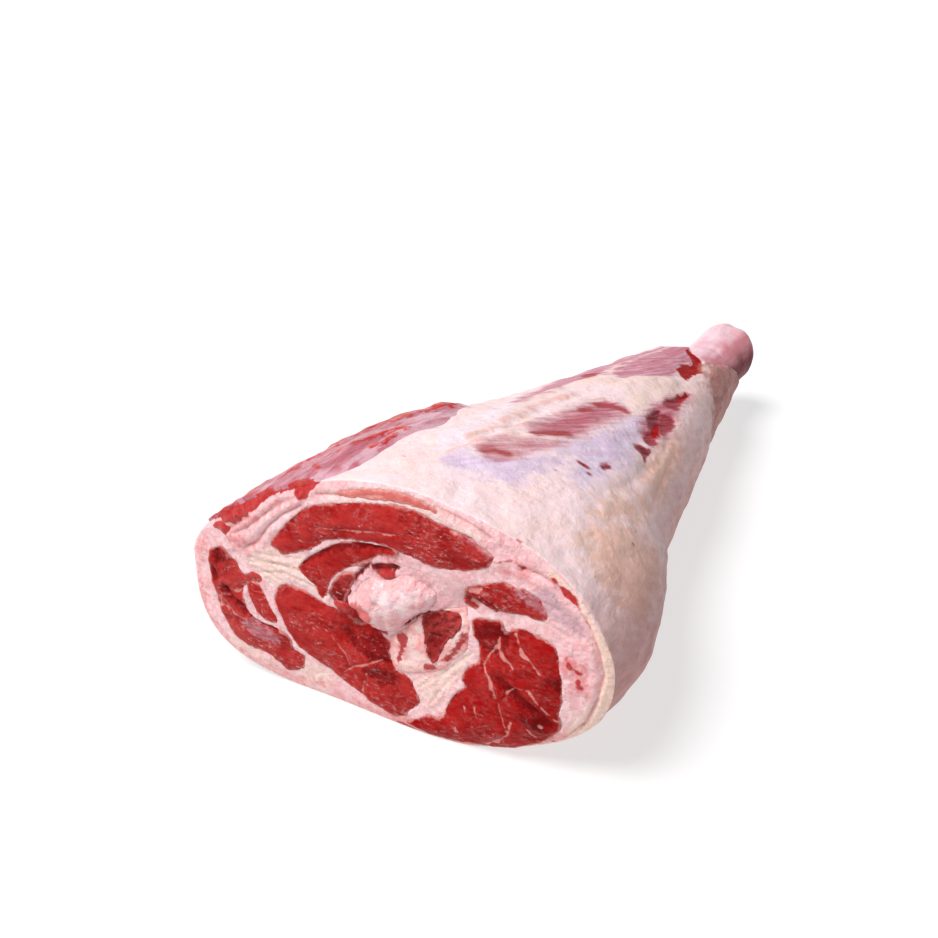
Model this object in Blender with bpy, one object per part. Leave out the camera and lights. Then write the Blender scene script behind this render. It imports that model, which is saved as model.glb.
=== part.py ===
"""Raw leg of lamb, bone in, with its shank on.

The leg lies on its outer side, the saw cut facing -Y and the hock pointing to +Y. Its muscles run
back from the cut inside one body of fat and fell, each a little narrower as the leg tapers. A thin
lean sheet covers the inner thigh, the thigh bone ends in the cut, and the shank bone comes out of
the fell as a bare knuckle.

Sizes are in millimetres and are turned to metres where a mesh is made. Depth is measured from the
cut towards the hock.
"""
import math
from collections import namedtuple

import bmesh
import bpy
import numpy as np
from mathutils import Vector, geometry

MM = 0.001

# ---- Driving dimensions ---------------------------------------------------------------------
LEG_LENGTH = 350.0           # from the cut to the hock
KNOB_PROUD = 7.0             # how far the knob of the joint stands out of the cut
CUT_Y = (KNOB_PROUD - LEG_LENGTH) / 2
FELL_LENGTH = 322.0          # where the fell stops round the neck of the shank bone
JOINT_GAP = 0.3              # between a piece and the pocket that it fills
LEAST_WALL = 1.4             # fat under a muscle that reaches the board
COLLAR_LIP = 1.5             # how far the fell's end rounds over towards the bone
RIM_REACH = 45.0             # how far back the skin's rings lean with the rim of the cut
FACE_SPACING = 8.0           # between the points inside a cut face
CLEAR_OF_CUT = 25.0          # how far in front of the cut a cutter starts
CLEAR_OF_SKIN = 6.0          # how far outside the skin a cutter reaches

# One cross-section of the leg. The four radii run from (mid, wide) to the left, right, top and
# bottom, and each quarter is a superellipse: a power of 2 is round, under 2 pointed, over 2 full.
Section = namedtuple(
    "Section", "depth mid wide left right top bottom power_tl power_tr power_br power_bl")
SECTIONS = (
    Section(0, 8, 50, 102, 85, 57, 52, 1.55, 1.90, 2.05, 3.2),
    Section(37, 9, 50, 96, 84, 56, 53, 1.65, 1.90, 2.25, 3.0),
    Section(74, 11, 48, 87, 74, 52, 51, 1.75, 1.90, 2.25, 2.7),
    Section(112, 13, 45, 76, 59, 46.5, 48, 1.85, 1.90, 2.2, 2.4),
    Section(149, 15, 43, 64, 49, 41, 46, 1.9, 1.9, 2.2, 2.2),
    Section(186, 17, 41, 52, 41, 36, 43, 2.0, 1.95, 2.1, 2.1),
    Section(223, 19, 39, 41, 33, 32, 36, 2.0, 2.0, 2.0, 2.0),
    Section(260, 20, 38, 33, 26.5, 27, 28, 2.0, 2.0, 2.0, 2.0),
    Section(298, 21, 36.5, 26, 20.5, 21.5, 21.5, 2.0, 2.0, 2.0, 2.0),
    Section(FELL_LENGTH, 21.5, 35.5, 19.5, 17, 17, 17, 2.0, 2.0, 2.0, 2.0),
    Section(LEG_LENGTH, 22, 34.5, 16, 15, 15, 15, 2.0, 2.0, 2.0, 2.0),
)

# Swellings and hollows of the outer surface: where (depth, angle), how far they reach along and
# round the leg, and their height.
Swelling = namedtuple("Swelling", "depth angle along round height")
SWELLINGS = (
    Swelling(190, 20, 45, 40, 2.5),       # belly of the outer shank muscle
    Swelling(215, 120, 40, 30, 2.0),      # belly of the inner shank muscle
    Swelling(245, 62, 38, 16, -2.2),      # groove between the two
    Swelling(30, 352, 30, 28, 1.0),       # fat over the hip side of the cut
    Swelling(88, 127, 36, 18, 3.5),       # inner thigh, under its lean sheet
    Swelling(30, 78, 26, 22, -1.6),       # dip behind the top of the cut
    Swelling(288, 95, 16, 40, 1.6),       # end of the shank muscles, before the tendons
    Swelling(95, 215, 50, 25, -2.0),      # slack of the flank
)

# Muscles seen at the cut: outline in the plane of the cut as (x, z), how far back they run, how
# many corners their rings have, and how proud of the cut their middle stands.
Muscle = namedtuple("Muscle", "name outline reach corners dome colour")
LEAN_RED = (0.42, 0.035, 0.035)
DARK_RED = (0.30, 0.020, 0.022)
PALE_LEAN = (0.62, 0.20, 0.18)
MUSCLES = (
    Muscle("topside_muscle", (
        (-51, 68), (-45, 77), (-37, 86), (-25, 92), (-7, 97), (12, 98), (30, 96), (42, 91),
        (46, 86), (38, 81), (24, 78), (8, 80), (-6, 80), (-20, 77), (-32, 70), (-43, 65)),
        205, 30, 1.6, LEAN_RED),
    Muscle("adductor_muscle", (
        (-38, 61), (-31, 69), (-21, 75), (-8, 78), (1, 77), (-5, 73), (-14, 68), (-22, 60),
        (-26, 51), (-32, 54)),
        120, 18, 0.8, LEAN_RED),
    Muscle("inner_slip", ((-22, 58), (-18, 62), (-13, 63), (-14, 57), (-18, 53)),
           45, 10, 0.5, DARK_RED),
    Muscle("silverside_muscle", (
        (-50, 47), (-45, 52), (-32, 51), (-20, 46), (-13, 39), (-2, 34), (0, 27), (8, 22),
        (14, 16), (11, 9), (2, 5), (-9, 8), (-24, 14), (-38, 21), (-46, 31), (-50, 40)),
        215, 28, 1.8, LEAN_RED),
    Muscle("flank_muscle", (
        (-84, 51), (-84, 41), (-79, 28), (-71, 18), (-60, 14), (-50, 9), (-43, 10), (-41, 18),
        (-48, 25), (-60, 28), (-68, 35), (-69, 46), (-62, 52), (-72, 56), (-79, 58)),
        110, 30, 1.0, DARK_RED),
    Muscle("eye_muscle", (
        (-64, 46), (-59, 46), (-55, 41), (-53, 35), (-55, 32), (-61, 34), (-65, 40)),
        80, 14, 0.8, LEAN_RED),
    Muscle("outer_muscle", (
        (34, 69), (37, 75), (46, 79), (56, 79), (64, 74), (66, 69), (57, 67), (46, 66.5),
        (38, 64.5)),
        140, 18, 1.0, LEAN_RED),
    Muscle("thick_flank_muscle", (
        (40, 60), (46, 62.5), (54, 60), (62, 61), (70, 59), (75, 50), (76, 38), (74, 25),
        (67, 13), (54, 5), (36, 1), (18, 1), (10, 3), (20, 10), (27, 17), (35, 29), (39, 42),
        (41, 52)),
        195, 30, 2.0, LEAN_RED),
    Muscle("pale_slip", (
        (-14, 100.5), (-8, 103), (2, 104.2), (13, 103.6), (21, 101.8), (24, 99.8), (18, 99),
        (8, 99.8), (-4, 99.3), (-11, 98.6)),
        60, 18, 0.4, PALE_LEAN),
)

# Bones. The thigh bone's sawn end shows red marrow, and a knob of the joint sits beside it.
THIGH_BONE_OUTLINE = (
    (3, 41), (10, 47.5), (17, 54), (24, 58.5), (32, 60), (36, 54), (35, 46), (29, 38), (20, 31),
    (10, 28), (3, 30))
THIGH_BONE_REACH = 150
MARROW_OUTLINE = ((19, 51), (25, 56), (31, 57), (33, 51), (27, 44), (21, 40), (19, 45))
MARROW_REACH = 40
KNOB_OUTLINE = (
    (-15, 54), (-9, 63), (-1, 68), (10, 71), (19, 67), (22, 61), (12, 51), (4, 45),
    (-6, 46), (-12, 50))
KNOB_REACH = 34
BONE_WHITE = (0.80, 0.66, 0.60)
MARROW_RED = (0.30, 0.015, 0.018)
KNUCKLE_PINK = (0.68, 0.36, 0.38)

# The lean sheet of the inner thigh: its upper and lower border as (depth, angle), and how thick it
# is in its middle and at its edges. It stands a little proud of the fat.
SHEET_UPPER = ((0, 117), (14, 109), (80, 108), (104, 114), (118, 124))
SHEET_LOWER = ((0, 158), (55, 170), (100, 157), (118, 147))
SHEET_LENGTH = 118.0
SHEET_THICKNESS = 5.0
SHEET_EDGE = 1.2
SHEET_PROUD = 0.8
SHEET_THINNING = 0.2         # the share of its width and length over which it thins to an edge
SHEET_ACROSS = 9
SHEET_ALONG = 10

# The shank bone, from the shaft inside the fell to the bare knuckle, as (depth, radius).
SHANK_BONE_SHAPE = (
    (262, 5.0), (267, 8.2), (285, 9.0), (304, 11.0), (316, 13.4), (324, 15.2), (331, 16.5),
    (338, 17.0), (343, 16.0), (347, 12.6), (349.3, 7.5))
SHANK_BONE_CORNERS = 24

FAT_CREAM = (0.86, 0.72, 0.64)

SKIN_CORNERS = 54
SKIN_DEPTHS = (0, 3, 10, 22, 38, 56, 78, 100, 122, 144, 166, 188, 210, 232, 254, 272, 286, 298,
               308, 316, FELL_LENGTH)
CUT_RINGS = (0.97, 0.90, 0.78, 0.60, 0.40, 0.20)


# ---- The shape of the leg ---------------------------------------------------------------------
SECTION_DEPTHS = np.array([s.depth for s in SECTIONS], float)
SECTION_VALUES = np.array([s[1:] for s in SECTIONS], float)
SECTION_SLOPES = np.gradient(SECTION_VALUES, SECTION_DEPTHS, axis=0)


def section_at(depth):
    """The cross-section at a depth, on a smooth curve through SECTIONS."""
    i = int(np.clip(np.searchsorted(SECTION_DEPTHS, depth) - 1, 0, len(SECTIONS) - 2))
    step = SECTION_DEPTHS[i + 1] - SECTION_DEPTHS[i]
    u = (depth - SECTION_DEPTHS[i]) / step
    values = ((2 * u**3 - 3 * u**2 + 1) * SECTION_VALUES[i]
              + (u**3 - 2 * u**2 + u) * step * SECTION_SLOPES[i]
              + (3 * u**2 - 2 * u**3) * SECTION_VALUES[i + 1]
              + (u**3 - u**2) * step * SECTION_SLOPES[i + 1])
    return Section(depth, *values)


def quarter(section, right, up):
    """Side radius, vertical radius and power of the quarter that a direction points into."""
    side = section.right if right else section.left
    height = section.top if up else section.bottom
    power = {(True, True): section.power_tr, (True, False): section.power_br,
             (False, True): section.power_tl, (False, False): section.power_bl}[right, up]
    return side, height, power


def swelling_at(depth, angle):
    """Height in mm that the surface stands off the plain section, at an angle in radians."""
    total = 0.0
    for s in SWELLINGS:
        turn = (math.degrees(angle) - s.angle + 180) % 360 - 180
        total += s.height * math.exp(-((depth - s.depth) / s.along)**2 - (turn / s.round)**2)
    return total


def leg_point(depth, share, angle, lift=0.0):
    """(x, y, z) at a share of the way from a section's middle to its edge, lifted by some mm."""
    section = section_at(depth)
    c, s = math.cos(angle), math.sin(angle)
    side, height, power = quarter(section, c >= 0, s >= 0)
    across = side * math.copysign(abs(c)**(2 / power), c)
    up = height * math.copysign(abs(s)**(2 / power), s)
    reach = math.hypot(across, up)
    share += (swelling_at(depth, angle) * share + lift) / reach
    return section.mid + share * across, CUT_Y + depth, section.wide + share * up


def share_and_angle(x, z):
    """Where a point of the cut lies in its section, so that deeper sections can repeat it."""
    cut = SECTIONS[0]
    side, height, power = quarter(cut, x >= cut.mid, z >= cut.wide)
    u, v = abs(x - cut.mid) / side, abs(z - cut.wide) / height
    share = max((u**power + v**power)**(1 / power), 1e-6)
    c = math.copysign((u / share)**(power / 2), x - cut.mid)
    s = math.copysign((v / share)**(power / 2), z - cut.wide)
    return share, math.atan2(s, c)


def even_angles(count):
    """Angles whose points lie evenly round the cut's edge."""
    fine = np.linspace(0, 2 * math.pi, 1441)
    edge = np.array([leg_point(0, 1.0, a) for a in fine])
    along = np.concatenate([[0], np.cumsum(np.linalg.norm(np.diff(edge, axis=0), axis=1))])
    return [float(a) for a in np.interp(np.arange(count) / count * along[-1], along, fine)]


def hill(x, z, centre_x, centre_z, radius):
    """1 at a centre, falling smoothly to 0 over about two radii."""
    return math.exp(-((x - centre_x)**2 + (z - centre_z)**2) / radius**2)


def cut_relief(x, z):
    """How far the cut stands proud of its plane at (x, z), in mm."""
    share, _ = share_and_angle(x, z)
    rim = -3.0 * max(0.0, share - 0.80)**2 / 0.04
    hollow_by_knob = -5.5 * hill(x, z, -10, 42, 7)
    hollow_by_bone = -3.0 * hill(x, z, 34, 66, 6)
    flank_falls_back = -1.0 * hill(x, z, -88, 46, 26)
    swell = 1.2 * math.sin(x / 17 + 0.4) * math.cos(z / 15)
    return rim + hollow_by_knob + hollow_by_bone + flank_falls_back + swell


def skin_point(depth, angle, lift=0.0):
    """A point of the outer surface. Near the cut the rings lean back to meet its worn rim."""
    edge_x, _, edge_z = leg_point(0, 1.0, angle)
    recess = -cut_relief(edge_x, max(edge_z, 0.0))
    u = min(depth / RIM_REACH, 1.0)
    x, y, z = leg_point(depth, 1.0, angle, lift)
    return x, y + recess * (1 - u * u * (3 - 2 * u)), max(z, 0.0)


# ---- Mesh helpers -------------------------------------------------------------------------------
def closed_curve(points, count):
    """count points spaced evenly along a smooth closed curve through the given ones."""
    p = np.array(points, float)
    fine = []
    for i in range(len(p)):
        a, b, c, d = p[i - 1], p[i], p[(i + 1) % len(p)], p[(i + 2) % len(p)]
        for u in np.linspace(0, 1, 12, endpoint=False):
            fine.append(0.5 * (2 * b + (c - a) * u + (2 * a - 5 * b + 4 * c - d) * u**2
                               + (3 * b - a - 3 * c + d) * u**3))
    fine = np.array(fine + [fine[0]])
    along = np.concatenate([[0], np.cumsum(np.linalg.norm(np.diff(fine, axis=0), axis=1))])
    at = np.arange(count) / count * along[-1]
    return np.stack([np.interp(at, along, fine[:, k]) for k in (0, 1)], axis=1)


def moved_in(ring, distance):
    """A closed ring of (x, z) moved inwards by a distance, corner by corner."""
    area = 0.5 * np.sum(ring[:, 0] * np.roll(ring[:, 1], -1) - np.roll(ring[:, 0], -1) * ring[:, 1])
    along = np.roll(ring, -1, axis=0) - np.roll(ring, 1, axis=0)
    along /= np.linalg.norm(along, axis=1)[:, None]
    inwards = np.stack([-along[:, 1], along[:, 0]], axis=1) * math.copysign(1.0, area)
    return ring + inwards * distance


def edge_distance(ring, x, z):
    """Distance from (x, z) to the nearest side of a ring of (x, z), negative outside it."""
    after = np.roll(ring, -1, axis=0)
    side = after - ring
    to_point = np.array((x, z)) - ring
    share = np.clip((to_point * side).sum(axis=1) / (side**2).sum(axis=1), 0, 1)
    distance = np.linalg.norm(to_point - side * share[:, None], axis=1).min()
    crosses = np.nonzero((ring[:, 1] > z) != (after[:, 1] > z))[0]
    at = ring[crosses, 0] + (z - ring[crosses, 1]) / side[crosses, 1] * side[crosses, 0]
    return distance if np.count_nonzero(at > x) % 2 else -distance


def face_lattice(ring):
    """Points of a lattice inside a ring, clear of its sides, and their distance from them."""
    points = []
    low, high = ring.min(axis=0), ring.max(axis=0)
    rows = np.arange(low[1] + FACE_SPACING / 2, high[1], FACE_SPACING * 0.87)
    for row, z in enumerate(rows):
        for x in np.arange(low[0] + FACE_SPACING * (0.3 + 0.5 * (row % 2)), high[0], FACE_SPACING):
            distance = edge_distance(ring, x, z)
            if distance > FACE_SPACING * 0.4:
                points.append((x, z, distance))
    return points


def body_from_rings(name, rings, face=None, start=None, end=None):
    """A closed body through rings of equal length.

    The first ring is shut by a point, by a flat face, or by a curved face through the given inner
    points. The last is shut by a point or a flat face.
    """
    bm = bmesh.new()
    made = [[bm.verts.new([c * MM for c in p]) for p in ring] for ring in rings]
    count = len(rings[0])
    for low, high in zip(made, made[1:]):
        for i in range(count):
            j = (i + 1) % count
            bm.faces.new((low[i], low[j], high[j]))
            bm.faces.new((low[i], high[j], high[i]))
    if face:
        inner = [bm.verts.new([c * MM for c in p]) for p in face]
        corners = made[0] + inner
        flat = [Vector((p[0], p[2])) for p in list(rings[0]) + list(face)]
        sides = [(i, (i + 1) % count) for i in range(count)]
        shared = geometry.delaunay_2d_cdt(flat, sides, [], 1, 1e-4)
        for triangle in shared[2]:
            bm.faces.new([corners[shared[3][k][0]] for k in triangle])
    for ring, tip in ((made[0], start), (made[-1], end)):
        if tip is not None:
            point = bm.verts.new([c * MM for c in tip])
            for i in range(count):
                bm.faces.new((ring[i], ring[(i + 1) % count], point))
        elif not (face and ring is made[0]):
            bm.faces.new(ring)
    bmesh.ops.triangulate(bm, faces=bm.faces[:])
    bmesh.ops.recalc_face_normals(bm, faces=bm.faces[:])
    mesh = bpy.data.meshes.new(name)
    bm.to_mesh(mesh)
    bm.free()
    mesh.shade_smooth()
    made_object = bpy.data.objects.new(name, mesh)
    bpy.context.scene.collection.objects.link(made_object)
    return made_object


def finish_with(piece, colour, roughness):
    """Gives a piece its own plain material."""
    material = bpy.data.materials.new(piece.name)
    material.use_nodes = True
    shader = material.node_tree.nodes["Principled BSDF"]
    shader.inputs["Base Color"].default_value = (*colour, 1.0)
    shader.inputs["Roughness"].default_value = roughness
    shader.inputs["Metallic"].default_value = 0.0
    piece.data.materials.append(material)


def cut_from(body, cutter):
    """Takes a cutter's volume out of a body."""
    cutter.hide_render = True
    cutter.display_type = "WIRE"
    modifier = body.modifiers.new("pocket for " + cutter.name, "BOOLEAN")
    modifier.operation = "DIFFERENCE"
    modifier.solver = "EXACT"
    modifier.object = cutter


# ---- Pieces that run back from the cut ----------------------------------------------------------
# Where the rings of such a piece lie, as shares of its reach, and how wide each one is.
RUN_RINGS = ((0.3, 0.98), (0.6, 0.95), (0.85, 0.86), (1.0, 0.55))


def section_ring(outline, depth, width, inset):
    """An outline of the cut repeated in the section at a depth, as (x, z) in mm."""
    middle = outline.mean(axis=0)
    ring = []
    for x, z in middle + (outline - middle) * width:
        x3, _, z3 = leg_point(depth, *share_and_angle(x, z))
        ring.append((x3, z3))
    ring = moved_in(np.array(ring), inset)
    ring[:, 1] = np.maximum(ring[:, 1], LEAST_WALL + inset)
    return ring


def running_rings(outline, reach, inset):
    """The rings of a piece behind the cut's plane. The last one is a blunt end."""
    rings = []
    for share, width in RUN_RINGS:
        ring = section_ring(outline, share * reach, width, inset * (1 + share))
        depth = share * reach - (inset if share == 1.0 else 0.0)
        rings.append([(x, CUT_Y + depth, z) for x, z in ring])
    return rings


def pocket(name, outline_points, reach, corners):
    """The cutter for a running piece: it starts well in front of the cut."""
    outline = closed_curve(outline_points, corners)
    front = section_ring(outline, 0.0, 1.0, 0.0)
    ahead = [[(x, CUT_Y - CLEAR_OF_CUT, z) for x, z in front], [(x, CUT_Y, z) for x, z in front]]
    return body_from_rings(name + "_pocket", ahead + running_rings(outline, reach, 0.0))


def running_piece(name, outline_points, reach, corners, dome):
    """A piece that fills its pocket, its face following the cut and swelling by a dome."""
    outline = closed_curve(outline_points, corners)
    edge = section_ring(outline, 0.0, 1.0, JOINT_GAP)
    rings = running_rings(outline, reach, JOINT_GAP)
    next_depth = rings[0][0][1] - CUT_Y
    for k, (x, _, z) in enumerate(rings[0]):     # a sunken face starts part way to the next ring
        share = max(-cut_relief(*edge[k]), 0.0) / next_depth
        edge[k] += (np.array((x, z)) - edge[k]) * share
    front = [(x, CUT_Y - cut_relief(x, z), z) for x, z in edge]
    inner = face_lattice(edge)
    deepest = max((d for _, _, d in inner), default=1.0)
    face = [(x, CUT_Y - cut_relief(x, z) - dome * (1 - (1 - d / deepest)**2), z)
            for x, z, d in inner]
    return body_from_rings(name, [front] + rings, face=face)


# ---- The parts of the leg -----------------------------------------------------------------------
def make_fat_body():
    """Fat, seams and fell as one body, before the pockets are cut."""
    angles = even_angles(SKIN_CORNERS)
    rings = []
    for size in sorted(CUT_RINGS):
        ring = []
        for a in angles:
            x, _, z = leg_point(0, size, a)
            z = max(z, 0.0)
            ring.append((x, CUT_Y - cut_relief(x, z), z))
        rings.append(ring)
    for depth in SKIN_DEPTHS:
        rings.append([skin_point(depth, a) for a in angles])
    cut = SECTIONS[0]
    start = (cut.mid, CUT_Y - cut_relief(cut.mid, cut.wide), cut.wide)
    collar = [leg_point(FELL_LENGTH + COLLAR_LIP, 0.86, a) for a in angles]
    rings.append(collar)
    last = section_at(FELL_LENGTH)
    return body_from_rings("fat_and_fell", rings, start=start,
                           end=(last.mid, CUT_Y + FELL_LENGTH + COLLAR_LIP + 0.5, last.wide))


def sheet_rings(lift_outside, lift_inside, margin):
    """Rings along the inner sheet. With a margin it is the sheet's bed, open to the cut."""
    rings = []
    last = SHEET_ALONG + (1 if margin else 0)
    for i in range(-1 if margin else 0, last + 1):
        along = min(max(i / SHEET_ALONG, 0.0), 1.0)
        depth = SHEET_LENGTH * along + (margin if i > SHEET_ALONG else 0.0)
        upper = np.interp(depth, *zip(*SHEET_UPPER))
        lower = np.interp(depth, *zip(*SHEET_LOWER))
        forward = CLEAR_OF_CUT if i < 0 else 0.0
        outside, inside = [], []
        for j in range(-1 if margin else 0, SHEET_ACROSS + (2 if margin else 1)):
            across = min(max(j / SHEET_ACROSS, 0.0), 1.0)
            beyond = j / SHEET_ACROSS - across           # only the bed has corners beyond the sheet
            angle = math.radians(upper + (lower - upper) * across + np.sign(beyond) * margin)
            to_side = min(across, 1.0 - across)
            fade = min(1.0, to_side / SHEET_THINNING) * min(1.0, (1.0 - along) / SHEET_THINNING)
            thick = SHEET_EDGE + (SHEET_THICKNESS - SHEET_EDGE) * fade
            for side, lift in ((outside, lift_outside), (inside, -thick + lift_inside)):
                x, y, z = skin_point(depth, angle, lift)
                side.append((x, y - forward, z))
        rings.append(outside + inside[::-1])
    return rings


def make_inner_sheet(fat):
    """The lean sheet over the inner thigh, let into the fat body."""
    cut_from(fat, body_from_rings("inner_sheet_bed", sheet_rings(CLEAR_OF_SKIN, -JOINT_GAP, JOINT_GAP)))
    piece = body_from_rings("inner_thigh_sheet", sheet_rings(SHEET_PROUD, 0.0, 0.0))
    finish_with(piece, DARK_RED, 0.45)


def make_muscles(fat):
    for m in MUSCLES:
        cut_from(fat, pocket(m.name, m.outline, m.reach, m.corners))
        piece = running_piece(m.name, m.outline, m.reach, m.corners, m.dome)
        finish_with(piece, m.colour, 0.4)


def make_thigh_bone(fat):
    """The thigh bone with its marrow, and the knob of the joint beside it."""
    cut_from(fat, pocket("thigh_bone", THIGH_BONE_OUTLINE, THIGH_BONE_REACH, 24))
    bone = running_piece("thigh_bone", THIGH_BONE_OUTLINE, THIGH_BONE_REACH, 24, 2.0)
    finish_with(bone, BONE_WHITE, 0.5)
    cut_from(bone, pocket("marrow", MARROW_OUTLINE, MARROW_REACH, 16))
    marrow = running_piece("marrow", MARROW_OUTLINE, MARROW_REACH, 16, 0.4)
    finish_with(marrow, MARROW_RED, 0.4)
    cut_from(fat, pocket("joint_knob", KNOB_OUTLINE, KNOB_REACH, 22))
    knob = running_piece("joint_knob", KNOB_OUTLINE, KNOB_REACH, 22, KNOB_PROUD)
    finish_with(knob, BONE_WHITE, 0.45)


def shank_bone_rings(inset):
    """Rings of the shank bone. The knuckle has a shallow groove between its two low domes."""
    rings = []
    for depth, radius in SHANK_BONE_SHAPE:
        section = section_at(depth)
        groove_depth = 0.05 * max(0.0, (depth - 300) / 50)
        ring = []
        for k in range(SHANK_BONE_CORNERS):
            angle = 2 * math.pi * k / SHANK_BONE_CORNERS
            r = (radius - inset) * (1.0 - groove_depth * math.cos(2 * angle))
            ring.append((section.mid + r * math.cos(angle), CUT_Y + depth,
                         section.wide + r * math.sin(angle)))
        rings.append(ring)
    return rings


def make_shank_bone(fat):
    """The shank bone, bare at the hock, its shaft in a bore of the fell."""
    shaft_start = SHANK_BONE_SHAPE[0][0]
    first, last = section_at(shaft_start), section_at(LEG_LENGTH)
    for name, inset in (("shank_bone_bore", -JOINT_GAP), ("shank_bone", 0.0)):
        piece = body_from_rings(
            name, shank_bone_rings(inset),
            start=(first.mid, CUT_Y + shaft_start - 1.0 + 2 * inset, first.wide),
            end=(last.mid, CUT_Y + LEG_LENGTH - 2 * inset, last.wide))
        if inset:
            cut_from(fat, piece)
        else:
            finish_with(piece, KNUCKLE_PINK, 0.35)


def main():
    for old in list(bpy.data.objects):
        bpy.data.objects.remove(old)
    fat = make_fat_body()
    finish_with(fat, FAT_CREAM, 0.5)
    make_muscles(fat)
    make_thigh_bone(fat)
    make_inner_sheet(fat)
    make_shank_bone(fat)


main()
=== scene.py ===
"""Raw leg of lamb, bone in, with its shank on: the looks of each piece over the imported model.

The leg lies on its outer side with the saw cut facing -Y. Lengths are in millimetres and become
metres where a mesh is made. Depth is measured from the cut towards the hock, and an angle round the
leg starts at +X and turns towards the top.
"""
import math

import bpy
import numpy as np
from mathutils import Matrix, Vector, geometry, noise


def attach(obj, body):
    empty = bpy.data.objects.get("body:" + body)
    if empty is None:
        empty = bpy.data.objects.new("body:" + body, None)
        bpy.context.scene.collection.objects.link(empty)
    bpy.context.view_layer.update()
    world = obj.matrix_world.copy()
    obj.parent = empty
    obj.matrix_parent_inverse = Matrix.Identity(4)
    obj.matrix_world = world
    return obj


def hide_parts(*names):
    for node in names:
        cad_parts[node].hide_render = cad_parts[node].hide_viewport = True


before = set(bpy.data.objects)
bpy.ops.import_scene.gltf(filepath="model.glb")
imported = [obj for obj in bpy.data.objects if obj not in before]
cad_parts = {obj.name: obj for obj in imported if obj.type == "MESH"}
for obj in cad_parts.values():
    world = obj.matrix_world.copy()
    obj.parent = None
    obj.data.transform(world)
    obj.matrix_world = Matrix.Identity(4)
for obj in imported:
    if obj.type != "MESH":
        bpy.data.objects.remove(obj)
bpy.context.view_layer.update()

# ==== Fat and fell ============================================================================
# The body of the leg: creamy fat under the fell, a papery skin that shows the muscles where it is
# thin. Its front is the saw cut, where the fat fills the seams between the muscles. One lofted
# mesh, the skin's rings first and the cut face closing them.
MM = 0.001
LEG_LENGTH = 350.0
KNOB_PROUD = 7.0             # how far the joint knob stands out of the cut
CUT_Y = (KNOB_PROUD - LEG_LENGTH) / 2
FELL_LENGTH = 322.0
COLLAR_LIP = 1.5             # how far the fell's end turns in behind the knuckle
COLLAR_TURN = 0.70
RIM_REACH = 45.0             # how far back from the cut the skin leans to meet its worn rim
RIM_WEAR = 3.0
RIM_SHARE = 0.80
CUT_SWELLINGS = (            # x, z, radius, height of the broad hollows in the cut
    (-10, 42, 7, -5.5), (34, 66, 6, -3.0), (-88, 46, 26, -1.0))
REACH = 12.0                 # signed distances are cut off this far from a zone's side
SECTIONS = np.array((        # depth, mid, wide, left, right, top, bottom, powers tl, tr, br, bl
    (0, 8, 50, 102, 85, 57, 52, 1.55, 1.90, 2.05, 3.2),
    (37, 9, 50, 96, 84, 56, 53, 1.65, 1.90, 2.25, 3.0),
    (74, 11, 48, 87, 74, 52, 51, 1.75, 1.90, 2.25, 2.7),
    (112, 13, 45, 76, 59, 46.5, 48, 1.85, 1.90, 2.2, 2.4),
    (149, 15, 43, 64, 49, 41, 46, 1.9, 1.9, 2.2, 2.2),
    (186, 17, 41, 52, 41, 36, 43, 2.0, 1.95, 2.1, 2.1),
    (223, 19, 39, 41, 33, 32, 36, 2.0, 2.0, 2.0, 2.0),
    (260, 20, 38, 33, 26.5, 27, 28, 2.0, 2.0, 2.0, 2.0),
    (298, 21, 36.5, 26, 20.5, 21.5, 21.5, 2.0, 2.0, 2.0, 2.0),
    (FELL_LENGTH, 21.5, 35.5, 19.5, 17, 17, 17, 2.0, 2.0, 2.0, 2.0),
    (LEG_LENGTH, 22, 34.5, 16, 15, 15, 15, 2.0, 2.0, 2.0, 2.0),
))
SECTION_SLOPES = np.gradient(SECTIONS[:, 1:], SECTIONS[:, 0], axis=0)
SWELLINGS = (                # depth, angle, reach along, reach round, height
    (190, 20, 45, 40, 2.5),
    (215, 120, 40, 30, 2.0),
    (245, 62, 38, 16, -2.2),
    (30, 352, 30, 28, 1.0),
    (88, 127, 36, 18, 3.5),
    (30, 78, 26, 22, -1.6),
    (288, 95, 16, 40, 1.6),
    (95, 215, 50, 25, -2.0),
)


def section_at(depth):
    """The ten values of the cross-section at each depth, on a smooth curve through SECTIONS."""
    depth = np.asarray(depth, float)
    i = np.clip(np.searchsorted(SECTIONS[:, 0], depth) - 1, 0, len(SECTIONS) - 2)
    step = SECTIONS[i + 1, 0] - SECTIONS[i, 0]
    u = ((depth - SECTIONS[i, 0]) / step)[..., None]
    step = step[..., None]
    values = ((2 * u**3 - 3 * u**2 + 1) * SECTIONS[i, 1:]
              + (u**3 - 2 * u**2 + u) * step * SECTION_SLOPES[i]
              + (3 * u**2 - 2 * u**3) * SECTIONS[i + 1, 1:]
              + (u**3 - u**2) * step * SECTION_SLOPES[i + 1])
    return np.moveaxis(values, -1, 0)


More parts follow.
